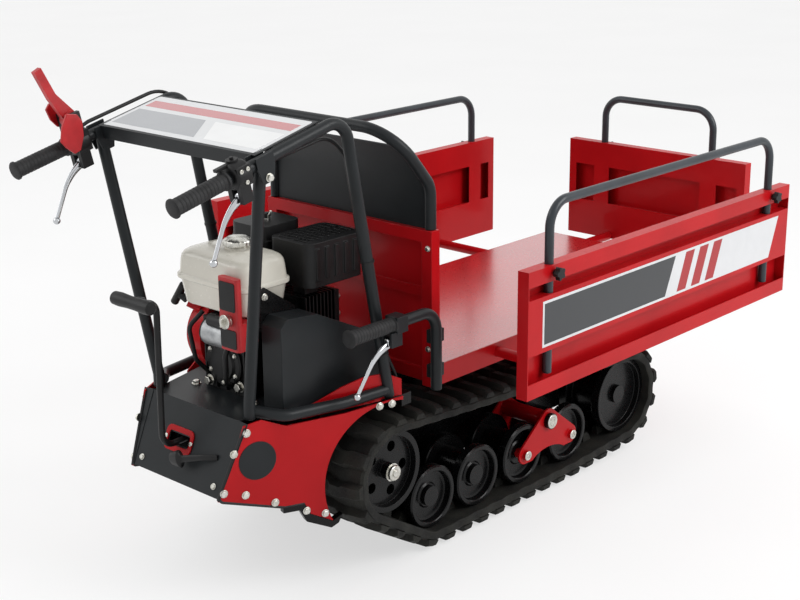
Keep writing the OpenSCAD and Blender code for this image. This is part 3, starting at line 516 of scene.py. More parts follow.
LEAVE = [tangent_angle(k) % 360 if k < 3 else tangent_angle(k) + 360 for k in range(4)]
MEET = [LEAVE[3] - 360] + LEAVE[:3]
ARC_L = [(LOOP[k][2] + BELT_T / 2) * math.radians(LEAVE[k] - MEET[k]) for k in range(4)]
RUN_L = [math.sqrt((LOOP[(k + 1) % 4][0] - LOOP[k][0]) ** 2 + (LOOP[(k + 1) % 4][1] - LOOP[k][1]) ** 2
                   - (LOOP[(k + 1) % 4][2] - LOOP[k][2]) ** 2) for k in range(4)]
LOOP_L = sum(ARC_L) + sum(RUN_L)
LINKS = round(LOOP_L / LINKS_PITCH)
LINK_L = LOOP_L / LINKS


def belt_at(s, out):
    """Point (x, z) at a length along the belt and a height out of its inner face."""
    s %= LOOP_L
    for k, (x, z, r) in enumerate(LOOP):
        if s <= ARC_L[k] + RUN_L[k] or k == 3:
            a = math.radians(MEET[k]) + min(s, ARC_L[k]) / (r + BELT_T / 2)
            along = max(s - ARC_L[k], 0)
            return (x + (r + out) * math.cos(a) - along * math.sin(a),
                    z + (r + out) * math.sin(a) + along * math.cos(a))
        s -= ARC_L[k] + RUN_L[k]


def belt_point(s, v, out):
    """Point at a length along the belt, a distance across it and a height out of its inner face."""
    x, z = belt_at(s, out)
    return (x, TRACK_Y + v, z)


# Tread bar: across the track, where its foot starts and ends along the belt, and its height
BAR_STATIONS = ((-90, -18, 14, 0.5), (-80, -18, 15, 0.86), (-44, -17, 17, 1), (-36, -13, 21, 1),
                (-9, -13, 21, 1), (0, -17, 17, 0.8), (9, -21, 13, 1), (36, -21, 13, 1), (44, -17, 17, 1),
                (80, -15, 18, 0.86), (90, -14, 18, 0.5))
BAR_DRAFT = 5


def tread_bar(shape, s):
    """One stepped rubber bar across the belt, with drafted flanks and a low saddle in its middle."""
    rings = []
    for v, start, end, share in BAR_STATIONS:
        top = BELT_T + BAR_H * share
        foot = BELT_T - 2
        section = ((start, foot), (start + BAR_DRAFT, top - 2), (start + BAR_DRAFT + 2, top),
                   (end - BAR_DRAFT - 2, top), (end - BAR_DRAFT, top - 2), (end, foot))
        rings.append([belt_point(s + along, v, out) for along, out in section])
    shape.loft(rings)


def guide_tooth(shape, s, side):
    """One moulded guide tooth inside the belt."""
    rings = []
    for out, half_s, v0, v1 in ((1, 16.5, 14.5, 33.5), (-14, 12, 15.5, 31), (-GUIDE_H, 8.5, 17, 28)):
        rings.append([belt_point(s + a * half_s, side * v, out) for a, v in
                      ((-1, v0), (1, v0), (1, v1), (-1, v1))])
    shape.loft(rings)


def rubber_track(name, side):
    """Endless belt with a grooved middle and scalloped edges, its tread bars and its guide teeth."""
    steps = 6
    shape = Shape(side)
    rings = []
    for i in range(LINKS * steps):
        s = i * LINK_L / steps
        edge = TRACK_HALF - 3 * (0.5 - 0.5 * math.cos(2 * math.pi * i / steps))
        section = ((-edge, 4), (-edge + 3, 0), (-14, 0), (-11, GROOVE), (11, GROOVE), (14, 0),
                   (edge - 3, 0), (edge, 4), (edge, BELT_T - 5), (edge - 5, BELT_T),
                   (-edge + 5, BELT_T), (-edge, BELT_T - 5))
        rings.append([belt_point(s, v, out) for v, out in section])
    shape.loft(rings, closed=True)
    for i in range(LINKS):
        tread_bar(shape, i * LINK_L)
        for v in (-1, 1):
            guide_tooth(shape, i * LINK_L, v)
    shape.finish("rubber_" + name, tread_rubber(), "chassis", name, edge=0, angle=32)


RIM_OUT = 64
RIM_IN = 40
WHEEL_R = 74.5
WHEEL_BORE = 12.1


def wheel_profile(r, hub):
    """Pressed roller in section: two rims, a dished outer face and a hub, from the bore out and back."""
    core = r - GUIDE_H - 7.5
    inner = r - 13.5
    return [(47, WHEEL_BORE), (47, 27), (44, 31), (44, inner - 8), (47, inner - 2), (51, inner), (62, inner),
            (RIM_OUT, inner + 2), (RIM_OUT, r - 3.5), (61, r), (42, r), (RIM_IN, r - 2), (RIM_IN, core),
            (-RIM_IN, core), (-RIM_IN, r - 2), (-42, r), (-61, r), (-RIM_OUT, r - 3.5), (-RIM_OUT, inner + 2),
            (-62, inner), (-57, inner), (-56, inner - 3), (-56, hub), (-RIM_OUT, hub), (-RIM_OUT, WHEEL_BORE)]


def road_wheel(node, side):
    """One pressed roller on its own body, at its node's place."""
    spot = middle(node)
    shape = Shape(side)
    x = (spot.x - AXLE_X) / MM
    shape.lathe(wheel_profile(WHEEL_R, 26), (x, TRACK_Y, spot.z / MM), (0, -1, 0), 72, closed=True)
    shape.finish(node + "_disc", black_enamel(), BODY_OF[node], node, edge=0, angle=28)


ROCKER_PIVOT = (561, 178)
ROCKER_WHEELS = ((470, 115), (652, 115))
ROCKER_Y = -261


def rocker(side_name, side):
    """Red rocker plate with the screws of its pivot and its two wheels."""
    node = "rocker_" + side_name
    shell(node, gloss_enamel(), edge=1)
    discs = Shape(side)
    for (x, z), r in ((ROCKER_PIVOT, 12), (ROCKER_WHEELS[0], 6), (ROCKER_WHEELS[1], 6)):
        y = ROCKER_Y - (17.2 if r > 6 else 14.2)
        discs.lathe([(0, r + 6), (1.2, r + 6), (2, r + 5), (2, r), (4, r - 1), (4, r * 0.55), (2.4, r * 0.5)],
                    (x, y, z), (0, -1, 0), 32)
    discs.finish("rocker_screws_" + side_name, zinc_plate(), "chassis", edge=0.3)


class CARRIER_OT_tracks(bpy.types.Operator):
    """Makes both rubber tracks"""
    bl_idname = "carrier.tracks"
    bl_label = "Rubber tracks"

    def execute(self, context):
        for name, side in SIDES:
            rubber_track("track_" + name, side)
        return {"FINISHED"}


class CARRIER_OT_running_gear(bpy.types.Operator):
    """Makes the wheels, sprockets, idlers and rockers"""
    bl_idname = "carrier.running_gear"
    bl_label = "Running gear"

    def execute(self, context):
        for name, side in SIDES:
            for k in range(1, 5):
                road_wheel(f"road_wheel_{name}_{k}", side)
            shell("idler_" + name, black_enamel(), edge=2)
            shell("sprocket_" + name, black_enamel(), edge=1.5)
            rocker(name, side)
            nut = Shape(side)
            nut.lathe([(0, 21), (2, 21), (2, 18), (10, 18), (11.5, 16), (11.5, 9), (14, 9), (15, 8)],
                      (0, -263, 224), (0, -1, 0), 12)
            nut.finish("sprocket_nut_" + name, zinc_plate(), "sprocket_" + name, edge=0.4)
        return {"FINISHED"}


# Chassis and covers

PLATE_ORIGIN = Vector((-394, -139.7, 0))
PLATE_FLARE = math.radians(18)
PLATE_T = 4
PLATE_ALONG = Vector((math.cos(PLATE_FLARE), -math.sin(PLATE_FLARE), 0))
PLATE_OUT = Vector((-math.sin(PLATE_FLARE), -math.cos(PLATE_FLARE), 0))


def on_plate(u, v, level):
    """A point of the flared side plate: length along it, height, and distance out of its outer face."""
    return PLATE_ORIGIN + PLATE_ALONG * u + PLATE_OUT * (PLATE_T + level) + Vector((0, 0, v))


# Places on the side plate: length along it and height
PLATE_BOLTS = ((70, 390), (40, 350), (14, 268), (62, 254), (128, 222), (200, 186), (244, 170),
               (380, 388), (410, 388))
PLATE_CREST = ((206, 386), (206, 406), (300, 440), (351, 452), (404, 452), (446, 432), (446, 392))
PLATE_EDGE = ((66, 402), (0, 252), (150, 205), (196, 203))
PLATE_BRACKET = ((146, 206), (196, 204), (210, 176), (262, 148), (286, 160), (276, 140), (258, 132),
                 (200, 160), (184, 190), (146, 192))
ROUNDEL = (92, 325)
ROUNDEL_R = 42
COVER_FOOT = Vector((-392, 0, 256))
COVER_SLOPE = Vector((66, 0, 154))
COVER_OUT = Vector((-154, 0, 66)).normalized()


def on_cover(y, z, level):
    """A point of the operator's sloping cover: across, height, and distance out of its face."""
    share = (z - COVER_FOOT.z) / COVER_SLOPE.z
    return COVER_FOOT + COVER_SLOPE * share + Vector((0, y, 0)) + COVER_OUT * level


def gear_gate():
    """Red surround of the gear slot with its screws, and the black stop beside it."""
    gate = Shape()
    gate.frame(round_rect(-26, 62, 310, 360, 14), round_rect(-16, 52, 322, 349, 7), on_cover, 0.1, 3)
    gate.finish("gear_gate_surround", gloss_enamel(), "chassis", edge=0.8)
    screws = Shape()
    for y, z in ((-22, 335), (58, 335)):
        screws.lathe([(0, 5), (1.4, 5), (2.6, 3.4), (2.6, 0.1)], on_cover(y, z, 3), COVER_OUT, 20)
    for y in (-118, 118):
        screws.hex_bolt(on_cover(y, 276, 0.1), COVER_OUT, 10, 5, 7)
    screws.finish("cover_screws", zinc_plate(), "chassis", edge=0.3)
    stop = Shape()
    route = [on_cover(*p) for p in ((-108, 330, 1), (-80, 322, 16), (-30, 306, 26), (-2, 300, 26))]
    radii = [7] * 8 + [8, 9, 11, 14, 17, 19, 20, 14]
    stop.sweep(bent(route, [30, 40], 6), radii, 24, flat=0.6)
    stop.finish("gate_stop", black_plastic(), "chassis", edge=0)


def cover_edges(side_name, side):
    """Fold of the cover, the red crest behind the guard tube and the rubber edge of the side plate."""
    fold = Shape(side)
    fold.prism(((-138, 254), (-146, 252), (-169, 409), (-138, 411)), on_cover, 0.2, 1.4)
    fold.finish("cover_fold_" + side_name, powder_coat(), "chassis", edge=0.5)
    crest = Shape(side)
    crest.prism(PLATE_CREST, on_plate, -24, -20)
    crest.finish("plate_crest_" + side_name, gloss_enamel(), "chassis", edge=0.8)
    trim = Shape(side)
    corners = [on_plate(u, v, -PLATE_T / 2) for u, v in PLATE_EDGE]
    trim.sweep(bent(corners, [12, 30], 6), 3.4, 16)
    trim.finish("plate_trim_" + side_name, grip_rubber(), "chassis", edge=0)


def under_bracket(side_name, side):
    """Dark bracket folded along the lower edge of the side plate."""
    bracket = Shape(side)
    bracket.prism(PLATE_BRACKET, on_plate, -16, 1.5)
    bracket.finish("plate_bracket_" + side_name, black_enamel(), "chassis", edge=1.5)


class CARRIER_OT_chassis(bpy.types.Operator):
    """Makes the chassis, the operator's cover, the side plates and their bolts"""
    bl_idname = "carrier.chassis"
    bl_label = "Chassis and covers"

    def execute(self, context):
        shell("chassis_frame", black_enamel(), edge=1.5)
        shell("operator_cover", powder_coat(), edge=1)
        shell("side_plates", gloss_enamel(), edge=0.8)
        shell("gearbox", black_casting(), edge=2)
        for name, side in SIDES:
            bolts = Shape(side)
            for u, v in PLATE_BOLTS:
                bolts.hex_bolt(on_plate(u, v, 0.1), PLATE_OUT)
            bolts.finish("plate_bolts_" + name, zinc_plate(), "chassis", edge=0.3,
                         *(["frame_bolts"] if side > 0 else []))
            roundel = Shape(side)
            roundel.lathe([(0.1, ROUNDEL_R), (0.9, ROUNDEL_R), (1.3, ROUNDEL_R - 0.6), (1.3, ROUNDEL_R - 3),
                           (0.9, ROUNDEL_R - 3.6), (0.9, 0.1)], on_plate(*ROUNDEL, 0), PLATE_OUT, 64)
            roundel.finish("plate_roundel_" + name, powder_coat(), "chassis", edge=0)
            under_bracket(name, side)
            cover_edges(name, side)
        gear_gate()
        return {"FINISHED"}


# Handlebars, console and levers

TUBE_R = 12.5
BAR_Y = -250
BAR_SLOPE = math.radians(13.6)
BAR_ROUTE = ((-548, BAR_Y, 918), (-112, BAR_Y, 1023.48), (7, BAR_Y, 397.6))
# Way of the bar from its bend down to its foot
BAR_DOWN = (119, 0, -626)
LEG_ROUTE = ((-339, BAR_Y, 961.1), (-303, -148, 438.5), (-303, -148, 410.3))
GUARD_ROUTE = ((-292, -148, 423.5), (-250, -197, 413), (-110, -228, 409), (-1, -251, 414))
BAR_ALONG = Vector((math.cos(BAR_SLOPE), 0, math.sin(BAR_SLOPE)))
BAR_UP = Vector((-math.sin(BAR_SLOPE), 0, math.cos(BAR_SLOPE)))
GRIP_X, _, GRIP_Z = BAR_ROUTE[0]
PERCH_X = -414


def on_bar(x, along, aside, up):
    """A point in the sloping frame of the right-hand bar that starts at x."""
    start = Vector((x, BAR_Y + aside, GRIP_Z + (x - GRIP_X) * math.tan(BAR_SLOPE)))
    return start + BAR_ALONG * along + BAR_UP * up


def grip_profile():
    """Ribbed hand grip from its domed end to its flange: length along the bar and radius."""
    profile = [(-8, 0.1), (-8, 12), (-7, 17.5), (-5, 19.5), (-2.5, 19.5), (-1.5, 16.6)]
    ribs = 13
    for i in range(ribs):
        start = 4 + i * 8.6
        profile += [(start, 16.5), (start + 1.2, 15.6), (start + 3.4, 15.6), (start + 4.6, 16.5)]
    return profile + [(119, 16.6), (120.5, 19.5), (125, 19.5), (126, 18), (126, 13)]


def frame_tubes(side_name, side):
    """Long bar, rear leg and low guard tube of one side."""
    tubes = Shape(side)
    tubes.sweep(bent(BAR_ROUTE, [46]), TUBE_R)
    tubes.sweep(bent(LEG_ROUTE, [30], 6), TUBE_R)
    tubes.sweep(bent(GUARD_ROUTE, [40, 120], 8), TUBE_R)
    tubes.finish("handlebar_tubes_" + side_name, powder_coat(), "chassis", "handle_frame_" + side_name,
                 edge=0)


CONSOLE_X = -345
CLAMP = ((-16, -16), (30, -16), (30, 8), (20, 40), (-8, 40), (-16, 8))


def on_clamp(u, v, level):
    """A point of the leg's bracket: along the bar, down from it and across."""
    return on_bar(CONSOLE_X, u, level, -v)


def bar_clamp(side_name, side):
    """Folded bracket where the rear leg meets the bar, with its bolt and the perch screws."""
    bracket = Shape(side)
    bracket.prism(CLAMP, on_clamp, -16, -12.7)
    bracket.prism(CLAMP, on_clamp, 12.7, 16)
    bracket.finish("leg_bracket_" + side_name, powder_coat(), "chassis", edge=1)
    bolts = Shape(side)
    bolts.hex_bolt(on_bar(CONSOLE_X, 7, -16, -30), (0, -1, 0), 13, 7, 9)
    for along, up in ((9, 12), (25, 12), (17, -12)):
        bolts.lathe([(0, 4.6), (2.6, 4.6), (3.4, 3.8), (3.4, 2), (2, 1.8)],
                    on_bar(PERCH_X, along, -24, up), (0, -1, 0), 20)
    bolts.finish("bar_bolts_" + side_name, zinc_plate(), "chassis", edge=0.3)


class CARRIER_OT_handlebars(bpy.types.Operator):
    """Makes the handlebar tubes, the grips and the lever perches"""
    bl_idname = "carrier.handlebars"
    bl_label = "Handlebars"

    def execute(self, context):
        grips = Shape()
        for name, side in SIDES:
            frame_tubes(name, side)
            origin = on_bar(GRIP_X, 0, 0, 0)
            grips.lathe(grip_profile(), (origin.x, origin.y * side, origin.z), BAR_ALONG, 40)
            ties = Shape(side)
            for at in ((-52, BAR_Y, 712), (-12, BAR_Y, 500)):
                ties.lathe([(-2.5, 12.7), (-2.5, 14.3), (2.5, 14.3), (2.5, 12.7)], at, BAR_DOWN, 32,
                           closed=True)
            ties.finish("cable_ties_" + name, black_plastic(), "chassis", edge=0.3)
            bar_clamp(name, side)
        grips.finish("ribbed_grips", grip_rubber(), "chassis", "hand_grips", edge=0, angle=30)
        shell("lever_perches", black_plastic(), edge=2.5)
        collars = Shape()
        for _, side in SIDES:
            at = on_bar(PERCH_X, 0, 0, 0)
            collars.lathe([(-3, 14), (-3, 21), (0, 25), (5, 27), (29, 27), (34, 25), (37, 21), (37, 14)],
                          (at.x, at.y * side, at.z), BAR_ALONG, 40)
        collars.finish("perch_collars", black_plastic(), "chassis", edge=0)
        return {"FINISHED"}


DUMP_Y = -285
GEAR_Y = 18
LEVER_BLADE = ((8, 0, -2), (-40, 0, -16), (-98, 0, -93))
LEVER_BALL = (-100, 0, -96)
LEVER_BALL_R = 8
# Outlines of the clutch cam's cheeks beside its pin: along the bar and up
CAM_INNER = ((-24, 24), (0, 14), (8, -4), (2, -34), (-14, -60), (-30, -62), (-46, -42), (-54, -26),
             (-42, 2))
CAM_OUTER = ((-18, -14), (2, -20), (16, -14), (21, 2), (14, 16), (-4, 30), (-22, 40), (-34, 30),
             (-30, 6))
# Gear lever's rod, its cross grip as length along it and radius, and the collar between the two
GEAR_ROUTE = ((-326, GEAR_Y, 335), (-404, GEAR_Y, 331), (-398, GEAR_Y, 648), (-446, GEAR_Y, 660))
GEAR_GRIP = ((-62, 0.1), (-62, 10), (-58, 14), (-40, 15), (-12, 13.5), (12, 13.5), (40, 15), (58, 14),
             (62, 10), (62, 0.1))
GEAR_COLLAR = ((-14, 8), (-14, 12), (0, 12.5), (8, 9))


def squeeze_lever(node, pin, tilt, side):
    """Chrome hand lever: a round eye, a tapering curved blade and a ball."""
    c = math.cos(tilt)
    s = math.sin(tilt)

    def turned(p):
        return Vector((pin[0] + p[0] * c - p[2] * s, pin[1] + p[1], pin[2] + p[0] * s + p[2] * c))

    lever = Shape(side)
    route = [turned(p) for p in bent(LEVER_BLADE, [105], 14)]
    last = len(route) - 1
    radii = [10.5 - 5.5 * (i / last) ** 0.7 for i in range(last + 1)]
    lever.sweep(route, radii, 20, flat=0.62)
    lever.lathe([(-6.9, 4.2), (-6.9, 9.5), (-5.5, 11), (5.5, 11), (6.9, 9.5), (6.9, 4.2)],
                pin, (0, 1, 0), 36, closed=True)
    turns = [math.radians(a) for a in range(-88, 90, 11)]
    ball = [(LEVER_BALL_R * math.sin(a), LEVER_BALL_R * math.cos(a)) for a in turns]
    lever.lathe(ball, turned(LEVER_BALL), (0, 1, 0), 28)
    lever.finish(node + "_chrome", chrome_plate(), node, node, edge=0, angle=50)


def on_cam(u, v, level):
    """A point beside the clutch cam's pin: along the bar, up and across."""
    return on_bar(PERCH_X, 12, 0, 52) + BAR_ALONG * u + BAR_UP * v + Vector((0, level, 0))


class CARRIER_OT_levers(bpy.types.Operator):
    """Makes the chrome levers, the red clutch lever, the throttle and the gear lever"""
    bl_idname = "carrier.levers"
    bl_label = "Levers"

    def execute(self, context):
        for name, side in SIDES:
            squeeze_lever("steering_lever_" + name, on_bar(PERCH_X, 15, 0, -42), BAR_SLOPE, side)
        squeeze_lever("dump_lever", Vector((-26, DUMP_Y, 537)), 0, 1)
        shell("clutch_lever", red_plastic(), edge=3)
        cam = Shape(-1)
        for outline, y in ((CAM_OUTER, -27), (CAM_INNER, 28)):
            cam.prism(outline, on_cam, y, y + 6.5)
        cam.finish("clutch_cam_cheeks", red_plastic(), "clutch_lever", edge=2)
        shell("throttle_lever", black_plastic(), edge=2)
        gear = Shape()
        gear.sweep(bent(GEAR_ROUTE, [30, 26]), 7)
        gear.lathe(GEAR_GRIP, (-456, GEAR_Y, 662), (0, 1, 0), 36)
        gear.lathe(GEAR_COLLAR, (-444, GEAR_Y, 659.5), (-48, 0, 12), 28)
        gear.lathe([(-20, 6.1), (-20, 14), (8, 14), (8, 6.1)], (-318, GEAR_Y, 335), (1, 0, 0), 32,
                   closed=True)
        gear.finish("gear_lever_rod", black_plastic(), "gear_lever", "gear_lever", edge=0)
        return {"FINISHED"}


CONSOLE_TOP = 15.5


def on_console(u, v, level):
    """A point over the console's top face: length from its rear edge, across, and height."""
    return on_bar(CONSOLE_X, u, -BAR_Y + v, CONSOLE_TOP + level)


def film_strip(name, outline, spot, material, body, level=0.25):
    """Thin printed film of an outline laid on a face."""
    strip = Shape()
    strip.prism(outline, spot, 0.05, level)
    return strip.finish(name, material, body, edge=0)


# Plain bands on the console's film: name, colour, and outline from the rear edge and across
CONSOLE_BANDS = (("red", "#B8343C", ((116, -226), (146, -226), (146, 226), (116, 226))),
                 ("grey", "#878B91", ((24, -40), (100, 8), (100, 226), (24, 226))),
                 ("pale", "#E8E9E9", ((24, -226), (100, -226), (100, -22), (24, -70))))


class CARRIER_OT_console(bpy.types.Operator):
    """Makes the console panel with its plain printed film"""
    bl_idname = "carrier.console"
    bl_label = "Console"

    def execute(self, context):
        shell("console_panel", powder_coat(), edge=1)
        film_strip("console_film", round_rect(8, 168, -238, 238, 6), on_console,
                   printed_film("console_silver", "#D2D4D6", 1.0), "chassis")
        for name, code, outline in CONSOLE_BANDS:
            film_strip("console_band_" + name, outline, on_console,
                       printed_film("console_" + name, code, 1.0), "chassis", 0.4)
        return {"FINISHED"}


# Engine and belt drive

# Tank's ends and half width, the crankshaft in the side view, and the fan cover's outer face
TANK = (-280, -130, 113)
CRANK = (-150, 510)
FAN_FACE_Y = 148


def tank_shell():
    """Drawn tank halves joined at a seam flange, with a domed top."""
    x0, x1, half = TANK
    levels = ((602, 30, 14), (604, 20, 18), (609, 14, 24), (658, 7, 26), (662, 1, 30), (663.5, 0, 30),
              (670.5, 0, 30), (672, 1, 30), (674, 4, 30), (700, 6, 30), (712, 8, 30), (719, 12, 30),
              (724, 19, 32), (728, 30, 36), (731.6, 46, 28), (734, 60, 12))
    rings = []
    for z, inset, radius in levels:
        outline = round_rect(x0 + inset, x1 - inset, -half + inset, half - inset, radius, 8)
        rings.append([(x, y, z) for x, y in outline])
    shape = Shape()
    shape.loft(rings)
    shape.lathe([(-6, 27), (2, 27), (3.5, 25), (4, 22)], (-202, -16, 734), (0, 0, 1), 40)
    shape.finish("drawn_fuel_tank", tank_enamel(), "chassis", "fuel_tank", edge=0, angle=50)


BOX_FACE_X = -296


def on_switch_box(y, z, level):
    """A point out of the switch box's face towards the operator."""
    return (BOX_FACE_X - level, y, z)


def engine_dressing():
    """Switch plates, key collar, muffler louvres, recoil slots, engine bolts and the air cleaner's nut."""
    plates = Shape()
    for z0, z1 in ((628, 690), (548, 588)):
        plates.prism(round_rect(-109, -61, z0, z1, 5), on_switch_box, 0.1, 1.6)
    plates.finish("switch_plates", black_plastic(), "chassis", edge=0.5)
    collar = Shape()
    collar.lathe([(-0.2, 14), (-7, 15.5), (-8, 14.5), (-8, 10)], (-302.4, -88, 608), (1, 0, 0), 40)
    collar.finish("key_collar", zinc_plate(), "ignition_key", edge=0)
    louvres = Shape()
    for i in range(9):
        x = -98 + 17 * i
        for y in (-112, -66):
            louvres.block((x, y, 737), (x + 8, y + 36, 740.4))
    for i in range(4):
        louvres.block((54, -124 + 29 * i, 660), (58.5, -108 + 29 * i, 724))
    louvres.finish("muffler_louvres", black_enamel(), "chassis", edge=1.4)
    slots = Shape()
    for i in range(18):
        a = math.radians(20 * i)

        def on_fan_cover(r, t, level, c=math.cos(a), s=math.sin(a)):
            return (CRANK[0] + c * r - s * t, FAN_FACE_Y + level, CRANK[1] + s * r + c * t)

        slots.prism(round_rect(20, 50, -2.6, 2.6, 2.4, 3), on_fan_cover, 0.05, 0.6)
    slots.finish("recoil_slots", black_plastic(), "chassis", edge=0)
    bolts = Shape()
    for z in (500, 540, 580):
        for y in (-52, 46):
            bolts.hex_bolt((50, y, z - 6), (1, 0, 0), 12, 7, 8)
    for x, y in ((-240, -90), (-118, -90), (-240, 98), (-118, 98)):
        bolts.hex_bolt((x, y, 410.2), (0, 0, 1), 14, 8, 11)
    bolts.finish("engine_bolts", zinc_plate(), "chassis", edge=0.4)
    nut = Shape()
    nut.lathe([(0, 10), (3, 10), (5, 7), (12, 6), (14, 4), (14, 0.1)], (-52, 61, 752.2), (0, 0, 1), 28)
    for y in (-1, 1):
        wing = [(-52, 61 + y * out, z) for out, z in ((5, 758), (13, 764), (17, 770))]
        nut.sweep(wing, [3, 3.4, 2.4], 12)
    nut.finish("air_cleaner_wing_nut", zinc_plate(), "chassis", edge=0)


def xz(y0):
    """Spot of an outline in the side view at some distance out from y0 to the right."""
    return lambda x, z, level: (x, y0 - level, z)


def engine_fittings():
    """Tank stay, head bracket, crankcase cover with its hoses, solenoid, and the plugs and screws."""
    stay = Shape()
    stay.prism(((-236, 666), (-222, 668), (-138, 610), (-134, 584), (-170, 574), (-236, 574)),
               xz(-114), 0.5, 4)
    stay.prism(((-238, 574), (-134, 574), (-134, 598), (-238, 598)), xz(-72), 0, 44)
    stay.finish("tank_stay", black_enamel(), "chassis", edge=1)
    bracket = Shape()
    bracket.prism(((-44, 486), (34, 506), (58, 492), (40, 462), (4, 452), (-40, 462)), xz(-60), 0, 18)
    bracket.finish("head_bracket", cast_aluminium(), "chassis", edge=3)
    case = Shape()
    case.lathe([(0, 56), (-5, 56), (-8, 52), (-8, 40), (-13, 36), (-13, 0.1)], (-228, 10, 478), (1, 0, 0), 48)
    for i in range(5):
        case.prism(((-228, 414), (-236, 418), (-236, 528), (-228, 534)), xz(-58 + 31 * i), -2.5, 2.5)
    for hose, radius in ((((-236, -40, 560), (-274, -44, 520), (-262, -30, 450), (-232, -20, 428)), 6),
                         (((-250, 50, 590), (-284, 60, 560), (-264, 66, 480), (-228, 64, 440)), 5)):
        case.sweep(bent(hose, [22, 30], 8), radius, 16)
    case.finish("crankcase_cover", black_casting(), "chassis", edge=1)
    solenoid = Shape()
    solenoid.lathe([(-34, 0.1), (-34, 12), (-31, 15), (26, 15), (29, 12), (29, 0.1)],
                   (-262, -16, 582), (0, 1, 0), 32)
    solenoid.lathe([(0, 17), (-4, 17), (-6, 14), (-6, 0.1)], (-242, -53, 548), (0, 1, 0), 32)
    solenoid.finish("starter_solenoid", black_plastic(), "chassis", edge=0, angle=40)
    plugs = Shape()
    plugs.hex_bolt((-237, -46, 436), (-1, 0, 0), 17, 12, 12)
    plugs.hex_bolt((-237, 52, 430), (-1, 0, 0), 17, 12, 12)
    for k in range(6):
        a = math.radians(60 * k + 30)
        plugs.hex_bolt((-236, 10 + 46 * math.cos(a), 478 + 46 * math.sin(a)), (-1, 0, 0), 8, 4, 5.5)
    plugs.hex_bolt((-224, -118, 648), (0, -1, 0), 12, 6, 8)
    plugs.finish("crankcase_screws", zinc_plate(), "chassis", edge=0.3)


class CARRIER_OT_engine(bpy.types.Operator):
    """Makes the engine with its tank, air cleaner, muffler and switch box"""
    bl_idname = "carrier.engine"
    bl_label = "Engine"

    def execute(self, context):
        tank_shell()
        cap = Shape()
        cap.lathe([(0, 20), (0, 31), (1.5, 32), (9, 32), (12, 30.5), (14, 26), (17, 22), (19, 10), (19, 0.1)],
                  (-202, -16, 738.2), (0, 0, 1), 60, lobes=15, lobe_depth=0.05)
        cap.finish("fuel_cap_cover", zinc_plate(), "fuel_cap", "fuel_cap", edge=0, angle=40)
        shell("engine_block", black_casting(), edge=1.5)
        shell("fan_cover", gloss_enamel(), edge=4)
        shell("air_cleaner", black_plastic(), edge=4)
        shell("carburettor", cast_aluminium(), edge=1.5)
        shell("muffler", black_casting(), edge=3)
        shell("control_box", red_plastic(), edge=2.5)
        shell("starter_handle", black_plastic(), edge=2)
        shell("ignition_key", zinc_plate(), edge=0.8)
        starter = Shape()
        starter.lathe([(-53, 0.1), (-53, 22), (-50, 29), (-46, 31.6), (34, 31.6), (38, 29), (41, 20),
                       (41, 0.1)], (-242, 0, 548), (0, 1, 0), 48)
        starter.finish("starter_motor_can", cast_aluminium(), "chassis", edge=0, angle=40)
        engine_dressing()
        engine_fittings()
        return {"FINISHED"}


class CARRIER_OT_belt_drive(bpy.types.Operator):
    """Makes the belt cover, the pulleys and the belt"""
    bl_idname = "carrier.belt_drive"
    bl_label = "Belt drive"

    def execute(self, context):
        shell("belt_cover", powder_coat(), edge=6)
        shell("engine_pulley", cast_aluminium(), edge=0.8)
        shell("gearbox_pulley", cast_aluminium(), edge=0.8)
        shell("drive_belt", belt_rubber(), edge=1)
        return {"FINISHED"}


CABLE_R = 4
LEFT_CABLE = ((-404, 279, 962), (-350, 276, 986), (-150, 270, 1036), (-72, 272, 960), (8, 272, 520),
              (34, 256, 430), (36, 254, 396))
RIGHT_CABLE = ((-404, -221, 940), (-340, -222, 948), (-130, -222, 985), (-86, -224, 940), (-16, -228, 560),
               (34, -244, 440), (36, -246, 396))


class CARRIER_OT_cables(bpy.types.Operator):
    """Makes the control cables along the frame"""
    bl_idname = "carrier.cables"
    bl_label = "Control cables"

    def execute(self, context):
        cables = Shape()
        cables.sweep(bent(LEFT_CABLE, [40, 80, 60, 60, 30], 8), CABLE_R, 16)
        cables.sweep(bent(RIGHT_CABLE, [40, 60, 50, 60, 30], 8), CABLE_R, 16)
        cables.finish("cable_sheaths", black_plastic(), "chassis", "control_cables", edge=0)
        return {"FINISHED"}


# Bed, hoop and boards

HOOP_Y = 246
HOOP_ROUTE = ((150, -HOOP_Y, 740.2), (150, -HOOP_Y, 836), (34, -HOOP_Y, 972), (34, HOOP_Y, 972),
              (150, HOOP_Y, 836), (150, HOOP_Y, 740.2))
HOOP_PANEL = ((148, 740.2), (148, 836), (68, 932), (71, 934), (151, 837), (151, 740.2))
DUMP_ROUTE = ((123, DUMP_Y, 389), (123, DUMP_Y, 573), (-140, DUMP_Y, 573))


def side_view(x, z, y):
    """Spot of an outline in the side view at a distance across."""
    return (x, y, z)


